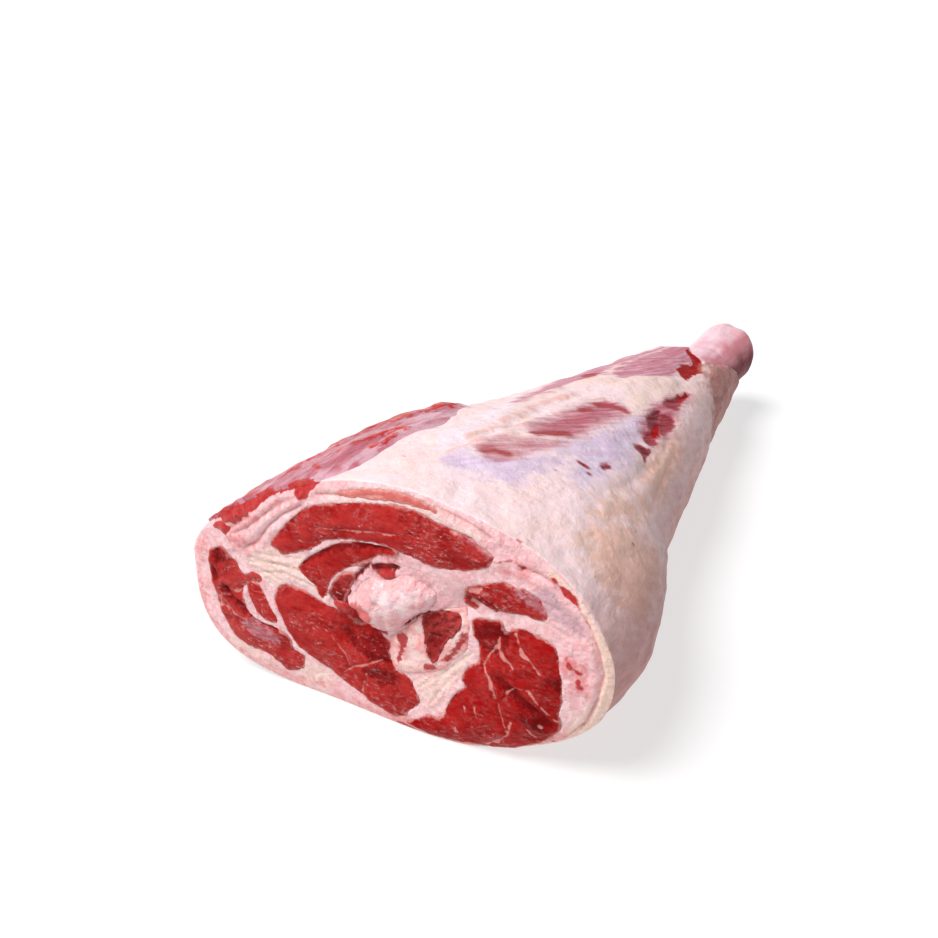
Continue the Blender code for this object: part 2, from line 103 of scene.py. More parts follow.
def leg_points(depth, share, angle, lift=0.0):
    """Points at a share of the way from each section's middle to its edge, lifted by some mm."""
    depth, share, angle = np.broadcast_arrays(*[np.asarray(a, float) for a in (depth, share, angle)])
    mid, wide, left, right, top, bottom, tl, tr, br, bl = section_at(depth)
    c, s = np.cos(angle), np.sin(angle)
    side = np.where(c >= 0, right, left)
    height = np.where(s >= 0, top, bottom)
    power = np.where(c >= 0, np.where(s >= 0, tr, br), np.where(s >= 0, tl, bl))
    across = side * np.sign(c) * np.abs(c)**(2 / power)
    up = height * np.sign(s) * np.abs(s)**(2 / power)
    swell = 0.0
    for at, way, along, around, high in SWELLINGS:
        turn = (np.degrees(angle) - way + 180) % 360 - 180
        swell = swell + high * np.exp(-((depth - at) / along)**2 - (turn / around)**2)
    share = share + (swell * share + lift) / np.hypot(across, up)
    return np.stack([mid + share * across, CUT_Y + depth, wide + share * up], axis=-1)


def share_and_angle(flat):
    """Where points (x, z) of the cut lie in its section."""
    _, mid, wide, left, right, top, bottom, tl, tr, br, bl = SECTIONS[0]
    x, z = flat[..., 0] - mid, flat[..., 1] - wide
    power = np.where(x >= 0, np.where(z >= 0, tr, br), np.where(z >= 0, tl, bl))
    u = np.abs(x) / np.where(x >= 0, right, left)
    v = np.abs(z) / np.where(z >= 0, top, bottom)
    share = np.maximum((u**power + v**power)**(1 / power), 1e-6)
    c = np.sign(x) * (u / share)**(power / 2)
    s = np.sign(z) * (v / share)**(power / 2)
    return share, np.arctan2(s, c)


def cut_relief(flat):
    """How far the cut stands proud of its plane at (x, z), as in the solids."""
    share, _ = share_and_angle(flat)
    relief = -RIM_WEAR * (np.maximum(0.0, share - RIM_SHARE) / (1 - RIM_SHARE))**2
    for x, z, radius, height in CUT_SWELLINGS:
        relief += height * np.exp(-((flat[..., 0] - x)**2 + (flat[..., 1] - z)**2) / radius**2)
    return relief + 1.2 * np.sin(flat[..., 0] / 17 + 0.4) * np.cos(flat[..., 1] / 15)


def skin_points(depth, angle, lift=0.0):
    """Points of the outer surface. Near the cut the rings lean back to meet its worn rim."""
    edge = leg_points(0.0, 1.0, angle)[..., (0, 2)]
    edge[..., 1] = np.maximum(edge[..., 1], 0.0)
    u = np.minimum(np.asarray(depth, float) / RIM_REACH, 1.0)
    points = leg_points(depth, 1.0, angle, lift)
    points[..., 1] -= cut_relief(edge) * (1 - u * u * (3 - 2 * u))
    points[..., 2] = np.maximum(points[..., 2], 0.0)
    return points


def grain(points, size, octaves=3, stretch=(1, 1, 1), shift=0.0):
    """Fractal noise round 0 at each point, its coarsest bumps about size mm apart."""
    scaled = points / (np.array(stretch) * size) + shift
    return np.array([noise.fractal(Vector(p), 1.0, 2.0, octaves) for p in scaled])


def smooth(values, low, high):
    """0 below low, 1 above high, and a smooth step between them."""
    u = np.clip((values - low) / (high - low), 0.0, 1.0)
    return u * u * (3 - 2 * u)


def closed_curve(points, spacing):
    """Points at a spacing along a smooth closed curve through the given ones."""
    p = np.array(points, float)
    u = np.linspace(0, 1, 12, endpoint=False)[:, None]
    fine = []
    for i in range(len(p)):
        a, b, c, d = p[i - 1], p[i], p[(i + 1) % len(p)], p[(i + 2) % len(p)]
        fine.append(0.5 * (2 * b + (c - a) * u + (2 * a - 5 * b + 4 * c - d) * u**2
                           + (3 * b - a - 3 * c + d) * u**3))
    fine = np.vstack(fine + [fine[0][:1]])
    along = np.concatenate([[0], np.cumsum(np.linalg.norm(np.diff(fine, axis=0), axis=1))])
    count = max(8, int(along[-1] / spacing))
    at = np.arange(count) / count * along[-1]
    return np.stack([np.interp(at, along, fine[:, k]) for k in (0, 1)], axis=1)


def line_distance(line, points):
    """Distance of each point from an open line."""
    line = np.array(line, float)
    nearest = np.full(len(points), np.inf)
    for a, b in zip(line, line[1:]) if len(line) > 1 else ((line[0], line[0] + 1e-3),):
        side = b - a
        share = np.clip((points - a) @ side / (side @ side), 0, 1)
        nearest = np.minimum(nearest, np.linalg.norm(points - a - share[:, None] * side, axis=1))
    return nearest


def inside_distance(ring, points, reach=REACH):
    """Distance of each point from a closed ring's side, negative outside and cut off at reach."""
    ring = np.array(ring, float)
    result = np.full(len(points), -reach)
    near = np.all((points > ring.min(axis=0) - reach) & (points < ring.max(axis=0) + reach), axis=1)
    if not near.any():
        return result
    p = points[near]
    distance = line_distance(np.vstack([ring, ring[:1]]), p)
    inside = np.zeros(len(p), bool)
    for a, b in zip(ring, np.roll(ring, -1, axis=0)):
        if a[1] != b[1]:
            crosses = (a[1] > p[:, 1]) != (b[1] > p[:, 1])
            inside ^= crosses & (p[:, 0] < a[0] + (p[:, 1] - a[1]) / (b[1] - a[1]) * (b[0] - a[0]))
    result[near] = np.clip(np.where(inside, distance, -distance), -reach, reach)
    return result


def largest(distances):
    """The largest signed distance at each point, so that several zones become one."""
    return np.max(distances, axis=0)


def zones(outlines, flat, spacing=2.0):
    """Signed distance at each (x, z) from the nearest side of some closed outlines."""
    return largest([inside_distance(closed_curve(outline, spacing), flat) for outline in outlines])


def on_plane(flat):
    """Points (x, z) as points in space, for the grain."""
    return np.stack([flat[:, 0], np.zeros(len(flat)), flat[:, 1]], axis=1)


def lattice(ring, spacing):
    """Points of a lattice inside a ring, clear of its side."""
    low, high = ring.min(axis=0), ring.max(axis=0)
    rows = np.arange(low[1], high[1], spacing * 0.87)
    points = []
    for k, z in enumerate(rows):
        x = np.arange(low[0] + spacing * 0.5 * (k % 2), high[0], spacing)
        points.append(np.stack([x, np.full(len(x), z)], axis=1))
    points = np.vstack(points)
    return points[inside_distance(ring, points) > spacing * 0.5]


def face_triangles(ring, inner):
    """Triangles over a closed ring and the points inside it."""
    flat = [Vector(p) for p in np.vstack([ring, inner])]
    sides = [(i, (i + 1) % len(ring)) for i in range(len(ring))]
    made = geometry.delaunay_2d_cdt(flat, sides, [], 1, 1e-4)
    return [[made[3][k][0] for k in triangle] for triangle in made[2]]


def ring_sides(first, count, rings):
    """Quads between rings of count vertices that follow each other from index first."""
    faces = []
    for r in range(rings - 1):
        low = first + r * count
        for i in range(count):
            j = (i + 1) % count
            faces.append((low + i, low + j, low + count + j, low + count + i))
    return faces


def made_piece(name, points, faces, attributes, materials, material_index=None):
    """A smooth-shaded mesh object, its normals outwards, with the attributes of each vertex."""
    points = np.asarray(points, float) * MM
    volume = sum(np.dot(points[f[0]], np.cross(points[f[1]], points[f[2]])) for f in faces)
    if volume < 0:
        faces = [f[::-1] for f in faces]
    mesh = bpy.data.meshes.new(name)
    mesh.from_pydata(points.tolist(), [], faces)
    mesh.shade_smooth()
    for key, values in attributes.items():
        values = np.asarray(values, float)
        kind, slot = ("FLOAT_VECTOR", "vector") if values.ndim == 2 else ("FLOAT", "value")
        mesh.attributes.new(key, kind, "POINT").data.foreach_set(slot, values.ravel())
    for material in materials:
        mesh.materials.append(material)
    if material_index is not None:
        mesh.polygons.foreach_set("material_index", material_index)
    piece = bpy.data.objects.new(name, mesh)
    bpy.context.scene.collection.objects.link(piece)
    return piece


def add(tree, kind, links=None, out=0, **settings):
    """Adds a node with its settings, links or sets its inputs, and returns one of its outputs."""
    node = tree.nodes.new(kind)
    for key, value in settings.items():
        setattr(node, key, value)
    for key, value in (links or {}).items():
        if isinstance(value, bpy.types.NodeSocket):
            tree.links.new(value, node.inputs[key])
        else:
            node.inputs[key].default_value = value
    return node.outputs[out]


def linear(code):
    """A hex sRGB colour as linear RGBA."""
    parts = [int(code[i:i + 2], 16) / 255 for i in (1, 3, 5)]
    return (*[c / 12.92 if c <= 0.04045 else ((c + 0.055) / 1.055)**2.4 for c in parts], 1.0)


def new_material(name):
    """An empty material, its tree, and object coordinates in mm."""
    material = bpy.data.materials.new(name)
    material.use_nodes = True
    tree = material.node_tree
    tree.nodes.clear()
    where = add(tree, "ShaderNodeTexCoord", out=3)
    return material, tree, add(tree, "ShaderNodeMapping", {"Vector": where, "Scale": (1000,) * 3})


def mottle(tree, place, size, stretch=(1, 1, 1), detail=4.0, low=0.35, high=0.65, rough=0.55):
    """Noise with bumps about size mm apart, longer along stretch, as a mask from 0 to 1."""
    place = add(tree, "ShaderNodeMapping", {"Vector": place, "Scale": [1 / s for s in stretch]})
    pattern = add(tree, "ShaderNodeTexNoise",
                  {"Vector": place, "Scale": 1 / size, "Detail": detail, "Roughness": rough})
    return add(tree, "ShaderNodeMapRange", {"Value": pattern, "From Min": low, "From Max": high},
               interpolation_type="SMOOTHSTEP")


def region(tree, attribute, ragged, wide=1.0, by=2.0):
    """Mask from a signed distance in mm, its border torn by up to by mm and wide mm soft."""
    distance = add(tree, "ShaderNodeAttribute", out=2, attribute_name=attribute)
    tear = add(tree, "ShaderNodeMath", {0: ragged, 1: -0.5, 2: 0.0}, operation="ADD")
    torn = add(tree, "ShaderNodeMath", {0: tear, 1: 2 * by, 2: distance}, operation="MULTIPLY_ADD")
    return add(tree, "ShaderNodeMapRange", {"Value": torn, "From Min": -wide / 2, "From Max": wide / 2},
               interpolation_type="SMOOTHSTEP")


def coats(tree, ground, layers):
    """Colours laid over a ground one after another, each through its mask."""
    for mask, colour in layers:
        if isinstance(colour, str):
            colour = linear(colour)
        if isinstance(ground, str):
            ground = linear(ground)
        ground = add(tree, "ShaderNodeMix", {0: mask, 6: ground, 7: colour}, out=2, data_type="RGBA")
    return ground


def times(tree, *masks):
    """Masks and plain numbers multiplied together."""
    result = masks[0]
    for mask in masks[1:]:
        result = add(tree, "ShaderNodeMath", {0: result, 1: mask}, operation="MULTIPLY")
    return result


def bumps(tree, layers):
    """Bump layers of (height, mm, strength) one over another, as a normal."""
    normal = None
    for height, depth, strength in layers:
        links = {"Height": height, "Distance": depth * MM, "Strength": strength}
        if normal is not None:
            links["Normal"] = normal
        normal = add(tree, "ShaderNodeBump", links)
    return normal


def finish(tree, links):
    """The principled shader of a material. Raw tissue is soft inside and wet outside."""
    shader = add(tree, "ShaderNodeBsdfPrincipled", links)
    output = tree.nodes.new("ShaderNodeOutputMaterial")
    tree.links.new(shader, output.inputs["Surface"])


# The skin: fell over fat. Signed distances say where each kind of surface lies.
def gristle_colour(tree, place):
    """Bare gristle of the hock: pale pink, flushed on its right dome and darker low down.

    Gives its colour and a mask of the pale part, which is the glossiest."""
    broad = mottle(tree, place, 9.0, (1, 1.6, 1), 3.0, 0.38, 0.62)
    streaks = mottle(tree, place, 2.6, (1, 6, 1), 4.0, 0.40, 0.62)
    torn = mottle(tree, place, 6.0, (1, 1.6, 1), 3.0, 0.25, 0.75)
    flushed = region(tree, "flushed", torn, 9.0, 3.0)
    # deep: painted shade low on the right, over gristle that is a little darker there
    deep = region(tree, "deep", torn, 10.0, 2.0)
    colour = coats(tree, "#ebbfca", (
        (times(tree, broad, 0.5), "#f6dde4"), (times(tree, streaks, 0.25), "#dc9aa7"),
        (times(tree, flushed, 0.85), coats(tree, "#cf7680", ((times(tree, streaks, 0.5), "#dea2ab"),))),
        # painted shade over slightly darker gristle
        (times(tree, deep, 0.95), "#6c202a")))
    pale = add(tree, "ShaderNodeMath", {0: 1.0, 1: flushed}, operation="SUBTRACT")
    return colour, pale


def fell_material():
    """Fell over fat: dry, papery and dull, cream to pink, lilac where it lies on lean."""
    material, tree, place = new_material("fell over fat")
    broad = mottle(tree, place, 30.0, (1, 1.6, 1), 3.0)
    patches = mottle(tree, place, 10.0, (1, 1.3, 1), 4.0, 0.40, 0.62)
    crumbs = mottle(tree, place, 3.0, (1, 1.1, 1), 4.0, 0.36, 0.66)
    pores = mottle(tree, place, 1.3, (1, 1, 1), 2.0, 0.40, 0.66)
    grain_way = add(tree, "ShaderNodeAttribute", out=1, attribute_name="skinwise")
    fibres = mottle(tree, grain_way, 1.5, (1, 11, 1), 3.0, 0.38, 0.62)
    streaks = mottle(tree, grain_way, 3.0, (1, 9, 1), 4.0, 0.38, 0.62)
    torn = mottle(tree, grain_way, 4.0, (1, 2.6, 1), 5.0, 0.25, 0.75)
    nicked = mottle(tree, place, 4.5, (1, 1.6, 1), 2.0, 0.25, 0.75)
    colour = coats(tree, "#f6d6d8", (
        (times(tree, broad, 0.7), "#f9e0e8"),
        (times(tree, patches, 0.40), "#f3cec5"),
        (times(tree, crumbs, 0.30), "#fbeaea"),
        (times(tree, pores, 0.12), "#e4b6b2")))
    # low: painted shade, the fell darker and browner round the underside, with a little blood tint
    low = region(tree, "low", torn, 60.0, 5.0)
    peach = region(tree, "peach", torn, 12.0, 5.0)
    cream = region(tree, "cream", torn, 6.0, 2.0)
    colour = coats(tree, colour, (
        (times(tree, peach, 0.8), "#efc2ad"),
        (times(tree, cream, 0.75), "#efd0c5"),
        # painted shade low round the leg
        (times(tree, low, 0.9), coats(tree, "#b0736f", ((times(tree, patches, 0.4), "#a06360"),)))))
    silver = region(tree, "silver", torn, 9.0, 4.0)
    silver_film = coats(tree, "#dcc3dc", (
        (times(tree, streaks, 0.55), "#eedff0"), (times(tree, patches, 0.35), "#c8accd")))
    veil = region(tree, "veil", torn, 6.0, 3.0)
    folds = region(tree, "folds", torn, 1.6, 1.2)
    colour = coats(tree, colour, (
        (times(tree, veil, 0.7), "#f7e6f3"), (times(tree, folds, 0.45), "#e9a48f"),
        (times(tree, silver, 0.9), silver_film)))
    combed = mottle(tree, grain_way, 2.6, (1, 7, 1), 3.0, 0.25, 0.75)
    thin = region(tree, "thin", combed, 8.0, 1.9)
    streak = region(tree, "streak", combed, 3.2, 0.9)
    thin_lean = coats(tree, "#b95464", (
        (times(tree, streaks, 0.65), "#d998ac"), (times(tree, fibres, 0.5), "#9c3a45")))
    colour = coats(tree, colour, (
        (times(tree, thin, 0.92), thin_lean), (times(tree, streak, 0.85), "#a83b3f")))
    shank = region(tree, "shank", torn, 5.0, 2.5)
    shank_lean = coats(tree, "#c47f8f", (
        (times(tree, streaks, 0.75), "#e0b2c2"), (times(tree, fibres, 0.5), "#ad4b57")))
    colour = coats(tree, colour, ((shank, shank_lean),))
    bare = region(tree, "bare", torn, 1.8, 1.0)
    clot = region(tree, "clot", torn, 2.5, 1.0)
    bare_lean = coats(tree, "#983138", (
        (times(tree, streaks, 0.5), "#b65560"), (times(tree, crumbs, 0.4), "#7d1c22"),
        (times(tree, clot, 0.8), "#661015"), (times(tree, fibres, 0.15), "#d7a0b0")))
    colour = coats(tree, colour, ((bare, bare_lean),))
    bright = region(tree, "bright", nicked, 1.4, 1.3)
    bright_lean = coats(tree, "#a61616", (
        (times(tree, streaks, 0.5), "#c33c3a"), (times(tree, crumbs, 0.5), "#8e1619")))
    colour = coats(tree, colour, ((bright, bright_lean),))
    dots = region(tree, "dots", nicked, 1.0, 0.5)
    colour = coats(tree, colour, ((times(tree, dots, 0.8), "#c0504a"),))
    tendon = region(tree, "tendon", nicked, 14.0, 6.0)
    tendon_skin = coats(tree, "#a05550", (
        (times(tree, patches, 0.6), "#ba7a6d"), (times(tree, crumbs, 0.5), "#854843"),
        (times(tree, pores, 0.2), "#dcae98")))
    colour = coats(tree, colour, ((times(tree, tendon, 0.85), tendon_skin),))
    gristle = region(tree, "gristle", nicked, 2.0, 1.5)
    colour = coats(tree, colour, ((gristle, gristle_colour(tree, place)[0]),))
    lean = add(tree, "ShaderNodeMath", {0: bare, 1: bright}, operation="MAXIMUM")
    raw = add(tree, "ShaderNodeMath", {0: lean, 1: gristle}, operation="MAXIMUM")
    dry = add(tree, "ShaderNodeMath", {0: 1.0, 1: raw}, operation="SUBTRACT")
    normal = bumps(tree, ((times(tree, patches, dry), 1.3, 0.32), (times(tree, crumbs, dry), 0.5, 0.24)))
    rough = add(tree, "ShaderNodeMapRange", {"Value": raw, "To Min": 0.55, "To Max": 0.28})
    mirror = add(tree, "ShaderNodeMapRange", {"Value": raw, "To Min": 0.2, "To Max": 0.03})
    softness = add(tree, "ShaderNodeMapRange", {"Value": lean, "To Min": 0.25, "To Max": 0.03})
    finish(tree, {
        "Base Color": colour, "Roughness": rough, "IOR": 1.42, "Specular IOR Level": mirror,
        "Subsurface Weight": softness, "Subsurface Radius": (1.0, 0.45, 0.35), "Subsurface Scale": 0.0025,
        "Coat Weight": times(tree, dry, 0.06), "Coat Roughness": 0.3, "Normal": normal})
    return material


def cut_fat_material():
    """Fat and seams at the saw cut: pinkish white, moist, smeared with red and cream."""
    material, tree, place = new_material("cut fat")
    broad = mottle(tree, place, 14.0, (1, 1, 1), 3.0)
    smears = mottle(tree, place, 5.5, (1, 1, 1), 4.0, 0.44, 0.66)
    crumbs = mottle(tree, place, 2.0, (1, 1, 1), 4.0, 0.38, 0.64)
    torn = mottle(tree, place, 3.0, (1, 1, 1), 5.0, 0.25, 0.75)
    lumpy = mottle(tree, place, 6.0, (1, 1, 1), 2.0, 0.25, 0.75)
    colour = coats(tree, "#eab1b5", (
        (times(tree, broad, 0.7), "#f1c9cd"),
        (times(tree, smears, 0.45), "#dd8a8d"),
        (times(tree, crumbs, 0.35), "#fae3e3")))
    # blush: fat flushed pink with juice, and painted shade along a fold at the upper left
    blush_and_shade = region(tree, "blush_and_shade", torn, 6.0, 3.0)
    cream = region(tree, "cream", torn, 4.0, 2.0)
    band = region(tree, "low", torn, 1.6, 0.7)
    silver = region(tree, "silver", torn, 2.5, 1.2)
    bright = region(tree, "bright", lumpy, 0.9, 1.2)
    hollow = region(tree, "bare", torn, 1.6, 1.0)
    line = region(tree, "thin", torn, 0.6, 0.15)
    fibre = region(tree, "shank", torn, 0.6, 0.15)
    colour = coats(tree, colour, (
        (times(tree, cream, 0.75), coats(tree, "#ecc9be", ((times(tree, crumbs, 0.6), "#f5ded6"),))),
        (times(tree, blush_and_shade, 0.75), coats(tree, "#e07a7c", ((times(tree, crumbs, 0.6), "#f0b4b2"),))),
        (times(tree, band, 0.85), coats(tree, "#eccab8", ((times(tree, crumbs, 0.6), "#f4dccf"),))),
        (times(tree, fibre, 0.45), "#d8b49c"),
        (times(tree, line, 0.6), "#d0867a"),
        (times(tree, silver, 0.65), coats(tree, "#b98f9b", ((times(tree, smears, 0.6), "#d8bfca"),))),
        (hollow, coats(tree, "#7d080b", ((times(tree, smears, 0.7), "#b21f21"),))),
        (bright, coats(tree, "#ac0f14", (
            (times(tree, lumpy, 0.35), "#c93a36"), (times(tree, crumbs, 0.25), "#d9605a"))))))
    normal = bumps(tree, ((smears, 0.9, 0.35), (crumbs, 0.5, 0.5)))
    raw = add(tree, "ShaderNodeMath", {0: hollow, 1: bright}, operation="MAXIMUM")
    softness = add(tree, "ShaderNodeMapRange", {"Value": raw, "To Min": 0.3, "To Max": 0.03})
    finish(tree, {
        "Base Color": colour, "Roughness": 0.40, "IOR": 1.44, "Specular IOR Level": 0.3,
        "Subsurface Weight": softness, "Subsurface Radius": (1.0, 0.4, 0.3), "Subsurface Scale": 0.003,
        "Coat Weight": 0.2, "Coat Roughness": 0.15, "Normal": normal})
    return material


# Muscle outlines in the plane of the cut, as (x, z), with how far back they run and how proud the
# middle stands. They come first here because the fat makes room for each of them.
TOPSIDE = (
    (-51, 68), (-45, 77), (-38, 85), (-31, 90), (-20, 94), (-7, 98), (10, 101), (23, 99), (32, 97),
    (38, 96), (41, 93), (46, 90), (44, 85), (35, 81), (25, 79), (16, 80), (8, 81), (3, 82), (-6, 81),
    (-13, 80), (-20, 78), (-25, 76), (-30, 72), (-36, 69), (-44, 65), (-48, 66))
ADDUCTOR = (
    (-38, 62), (-34, 67), (-29, 71), (-22, 76), (-15, 79), (-8, 81), (-2, 82), (4, 82), (8, 81),
    (4, 78), (-1, 77), (-5, 73), (-11, 69), (-17, 66), (-22, 61), (-24, 56), (-26, 51), (-29, 52),
    (-30, 55), (-34, 57), (-37, 60))
INNER_SLIP = ((-22, 60), (-18, 64), (-13, 66), (-13, 62), (-16, 55), (-18, 51), (-23, 53), (-24, 55))
SILVERSIDE = (
    (-50, 46), (-48, 50), (-45, 52), (-39, 52), (-32, 51), (-26, 49), (-18, 47), (-14, 41), (-6, 42),
    (2, 38), (2, 34), (5, 27), (10, 26), (15, 17), (13, 12), (6, 5), (0, 5), (-7, 7), (-13, 10),
    (-20, 12), (-26, 16), (-32, 18), (-38, 21), (-43, 25), (-46, 30), (-49, 37), (-51, 42))
FLANK = (
    (-84, 54), (-85, 48), (-84, 39), (-80, 28), (-75, 20), (-69, 15), (-59, 14), (-51, 11), (-48, 8),
    (-42, 10), (-39, 14), (-38, 19), (-43, 21), (-45, 26), (-52, 29), (-58, 29), (-65, 32), (-66, 43),
    (-57, 50), (-66, 50), (-69, 54), (-73, 56), (-76, 59), (-82, 56))
EYE = (
    (-64, 47), (-59, 47), (-56, 44), (-53, 39), (-50, 34), (-50, 31), (-54, 30), (-59, 32), (-62, 35),
    (-64, 39), (-65, 44))
OUTER = (
    (33, 69), (35, 74), (38, 76), (43, 78), (50, 81), (54, 80), (59, 80), (64, 78), (67, 74), (68, 70),
    (64, 69), (59, 69), (54, 68), (50, 68), (46, 67), (41, 68), (38, 64), (33, 65))
THICK_FLANK = (
    (37, 58), (38, 61), (43, 63), (49, 64), (51, 62), (52, 60), (54, 62), (59, 64), (63, 63), (67, 62),
    (71, 60), (73, 57), (74, 51), (75, 44), (75, 37), (74, 30), (74, 24), (71, 19), (67, 14), (62, 10),
    (54, 5), (47, 3), (38, 2), (28, 1), (18, 1), (9, 3), (12, 6), (19, 11), (25, 12), (27, 19), (30, 25),
    (34, 29), (33, 32), (35, 38), (40, 43), (40, 50), (38, 54))
PALE_SLIP = (
    (-20.6, 98.2), (-14.2, 100.7), (-3.6, 103.9), (5.2, 105.2), (13.8, 105.0), (21.9, 103.4),
    (25, 100.6), (18, 101.6), (6.5, 101.4), (-1.4, 100.2), (-11.6, 98.2), (-17, 97.2))
THIGH_BONE = (
    (2, 42), (9, 48), (13, 52), (17, 57), (22, 60), (29, 62), (34, 63), (36, 57), (36, 50), (35, 45),
    (31, 41), (25, 34), (19, 30), (15, 29), (9, 27), (4, 28), (1.5, 33), (2, 38))
MARROW = (
    (16.8, 56.2), (21, 58.8), (26.4, 60.4), (31, 60.8), (33.1, 58.6), (32.2, 54.2), (27.8, 48.6),
    (25, 43.3), (22.4, 37.2), (19.4, 36.8), (18.5, 43), (17.3, 49.5))
KNOB = (
    (-16, 54), (-12, 58), (-9, 63), (-4, 67), (2, 67), (8, 71), (12, 72), (16, 71), (20, 69), (23, 67),
    (22, 63), (19, 58), (14, 55), (9, 50), (5, 45), (1, 43), (-4, 42), (-9, 43), (-13, 46), (-13, 50))
CUT_OUTLINES = (TOPSIDE, ADDUCTOR, INNER_SLIP, SILVERSIDE, FLANK, EYE, OUTER, THICK_FLANK, PALE_SLIP,
                THIGH_BONE, KNOB)

# What shows on the skin, as outlines and lines of (depth, angle).
CLEAR_WINDOW = (             # where the fell is thin and the lean shows through, fading downwards
    ((90, 84), (103, 85), (116, 84), (132, 82), (150, 81), (156, 74), (155, 64), (143, 65), (121, 67),
     (101, 69), (89, 73), (84, 77), (80, 80)),)
WINDOW_FOOT = 63.5
WINDOW_FADE = 0.42           # mm of signed distance for each degree above the foot
FLANK_WINDOW = (
    ((142, 51), (160, 57), (185, 57), (200, 54), (214, 48), (212, 46), (190, 45), (172, 41), (158, 40),
     (142, 43)),)
FAINT_WINDOW = (             # one more, under a thicker film
    ((53, 86), (65, 85), (72, 80), (79, 75), (89, 70), (80, 70), (66, 73), (56, 74), (47, 77), (42, 80),
     (46, 84)),)
FAINT = 1.0                  # its signed distance stops here, so that it stays half open
DARK_STREAKS = (             # half width in mm, line of (depth, angle): redder bands in the windows
    (2.4, ((82, 80), (88, 78), (94, 74), (98, 72))),
    (2.2, ((48, 84), (52, 82), (53, 78))),
    (2.0, ((130, 80), (136, 78))),
    (2.6, ((146, 78), (152, 72), (153, 66))),
)
SILVER_FILM = (              # lilac film over the lean
    ((30, 90), (42, 87), (44, 82), (48, 76), (57, 74), (68, 70), (66, 64), (54, 66), (43, 67), (33, 69),
     (32, 74), (27, 79), (26, 85)),
    ((107, 67), (125, 64), (146, 63), (155, 56), (151, 51), (137, 48), (126, 48), (110, 46), (85, 50),
     (68, 53), (57, 57), (59, 60), (78, 63), (72, 68), (88, 70)),
)
WHITE_VEIL = (               # taut white film beside the sheet of lean
    ((52, 102), (68, 101), (97, 104), (127, 111), (152, 114), (170, 113), (170, 107), (146, 103),
     (121, 101), (89, 96), (66, 95), (49, 94), (38, 96)),)
FOLDS = (                    # thin orange-pink folds of the fell
    ((82, 94), (100, 94), (125, 96), (147, 94)),
    ((54, 94), (69, 92), (81, 88), (90, 86)),
    ((37, 92), (49, 90), (59, 89)),
    ((109, 102), (136, 104), (153, 104)),
)
CLOT_LEAN = (                # the darkest, clotted parts of the torn patch
    ((162, 56), (172, 56), (177, 54), (169, 50), (159, 48), (155, 50)),
    ((133, 49), (134, 42), (128, 43)),
)
BARE_LEAN = (                # where the fell is torn off the outer shank muscle
    ((187, 57), (199, 54), (216, 48), (216, 46), (200, 47), (189, 46), (185, 50), (183, 54)),
    ((163, 56), (174, 56), (176, 53), (159, 46), (153, 48), (157, 53)),
    ((169, 50), (174, 50), (180, 44), (172, 40), (160, 40), (157, 44)),
    ((145, 50), (151, 48), (153, 45), (146, 41), (139, 43), (140, 47)),
    ((129, 50), (136, 48), (134, 44), (138, 42), (133, 40), (123, 40), (126, 44), (126, 48)),
)
FLECKS = (                   # small holes in the fell: half width in mm, line of (depth, angle)
    (1.5, ((76, 60.4), (75.4, 58.4))),
    (1.3, ((70.6, 55.2),)),
    (1.4, ((84, 53.6), (90, 52))),
)
BRIGHT_LEAN = (              # raw end of the shank muscles by the knuckle
    ((269, 86), (271, 80), (268, 62), (259, 58), (252, 52), (240, 56), (230, 57), (232, 68), (242, 73),
     (252, 68), (260, 69), (264, 80)),
    ((189, 114), (194, 112), (195, 106), (186, 104), (184, 107)),
    ((199, 53.5), (208, 51), (216, 48), (214, 46.3), (204, 49)),
    ((149, 47), (156, 49), (161, 47), (154, 43.5)),
)
SHANK_LEAN = (               # shank muscles and the strip behind the ridge, under bare silverskin
    ((200, 100), (219, 105), (241, 108), (258, 108), (269, 106), (276, 88), (268, 78), (255, 69),
     (241, 72), (228, 68), (214, 72), (206, 78), (195, 88), (188, 90)),
    ((121, 106), (145, 114), (163, 120), (185, 124), (215, 124), (250, 122), (268, 118), (269, 106),
     (208, 106), (195, 101), (185, 102), (174, 107), (155, 105), (129, 103)),
)
# The firm ridge of the inner thigh, and soft creases beside it and down the right side.
RIDGE = ((49, 101), (75, 99), (110, 99), (134, 103), (160, 108), (170, 102), (177, 96), (186, 84),
         (202, 76), (215, 64))
CREASES = (
    ((47, 92), (64, 90), (80, 89), (99, 92), (128, 92), (150, 92), (170, 92), (184, 86)),
    ((73, 46), (94, 42), (122, 39), (144, 39)),
    ((85, 41), (108, 38), (136, 34), (161, 38)),
    ((90, 28), (115, 28), (139, 28), (161, 32)),
    ((237, 44), (244, 27), (260, 14)),
)
PEACH_FAT = (                # warmer fat, low on the right side
    ((45, 49), (63, 46), (80, 40), (97, 29), (83, 28), (56, 40), (46, 46)),
    ((18, 40), (40, 44), (60, 36), (70, 18), (50, 10), (24, 14)),
    ((100, 34), (150, 40), (170, 34), (150, 22), (112, 22)),
)
CREAM_FAT = (                # thick, even fat beside the torn patch
    ((171, 76), (190, 75), (207, 68), (202, 61), (183, 60), (163, 58), (161, 65)),
    ((215, 62), (222, 51), (217, 49), (200, 54), (191, 58), (204, 60)),
)
COLLAR_LINE = (              # where the fell ends and bare gristle begins: angle, depth
    (-90, 308), (-12, 306), (17, 300), (32, 290), (46, 276), (62, 268), (78, 268), (88, 274), (106, 270),
    (150, 280), (200, 300), (270, 308))
# Depth and radius of the neck that the bare end draws in to, by at most NECK_SINK.
NECK_RADII = ((255, 20.5), (285, 18.2), (300, 16.6), (311, 15.2), (322, 13.4))
NECK_SINK = 8.0
RED_DOTS = ((0.6, 56), (4.5, 54), (62, 32), (52, 31), (58, 64), (25, 102))
TENDON_COLLAR = (            # brownish tendon and dried skin round the hock
    ((266, 60), (252, 46), (240, 30), (228, 4), (240, -30), (322, -60), (322, 40), (290, 52)),)
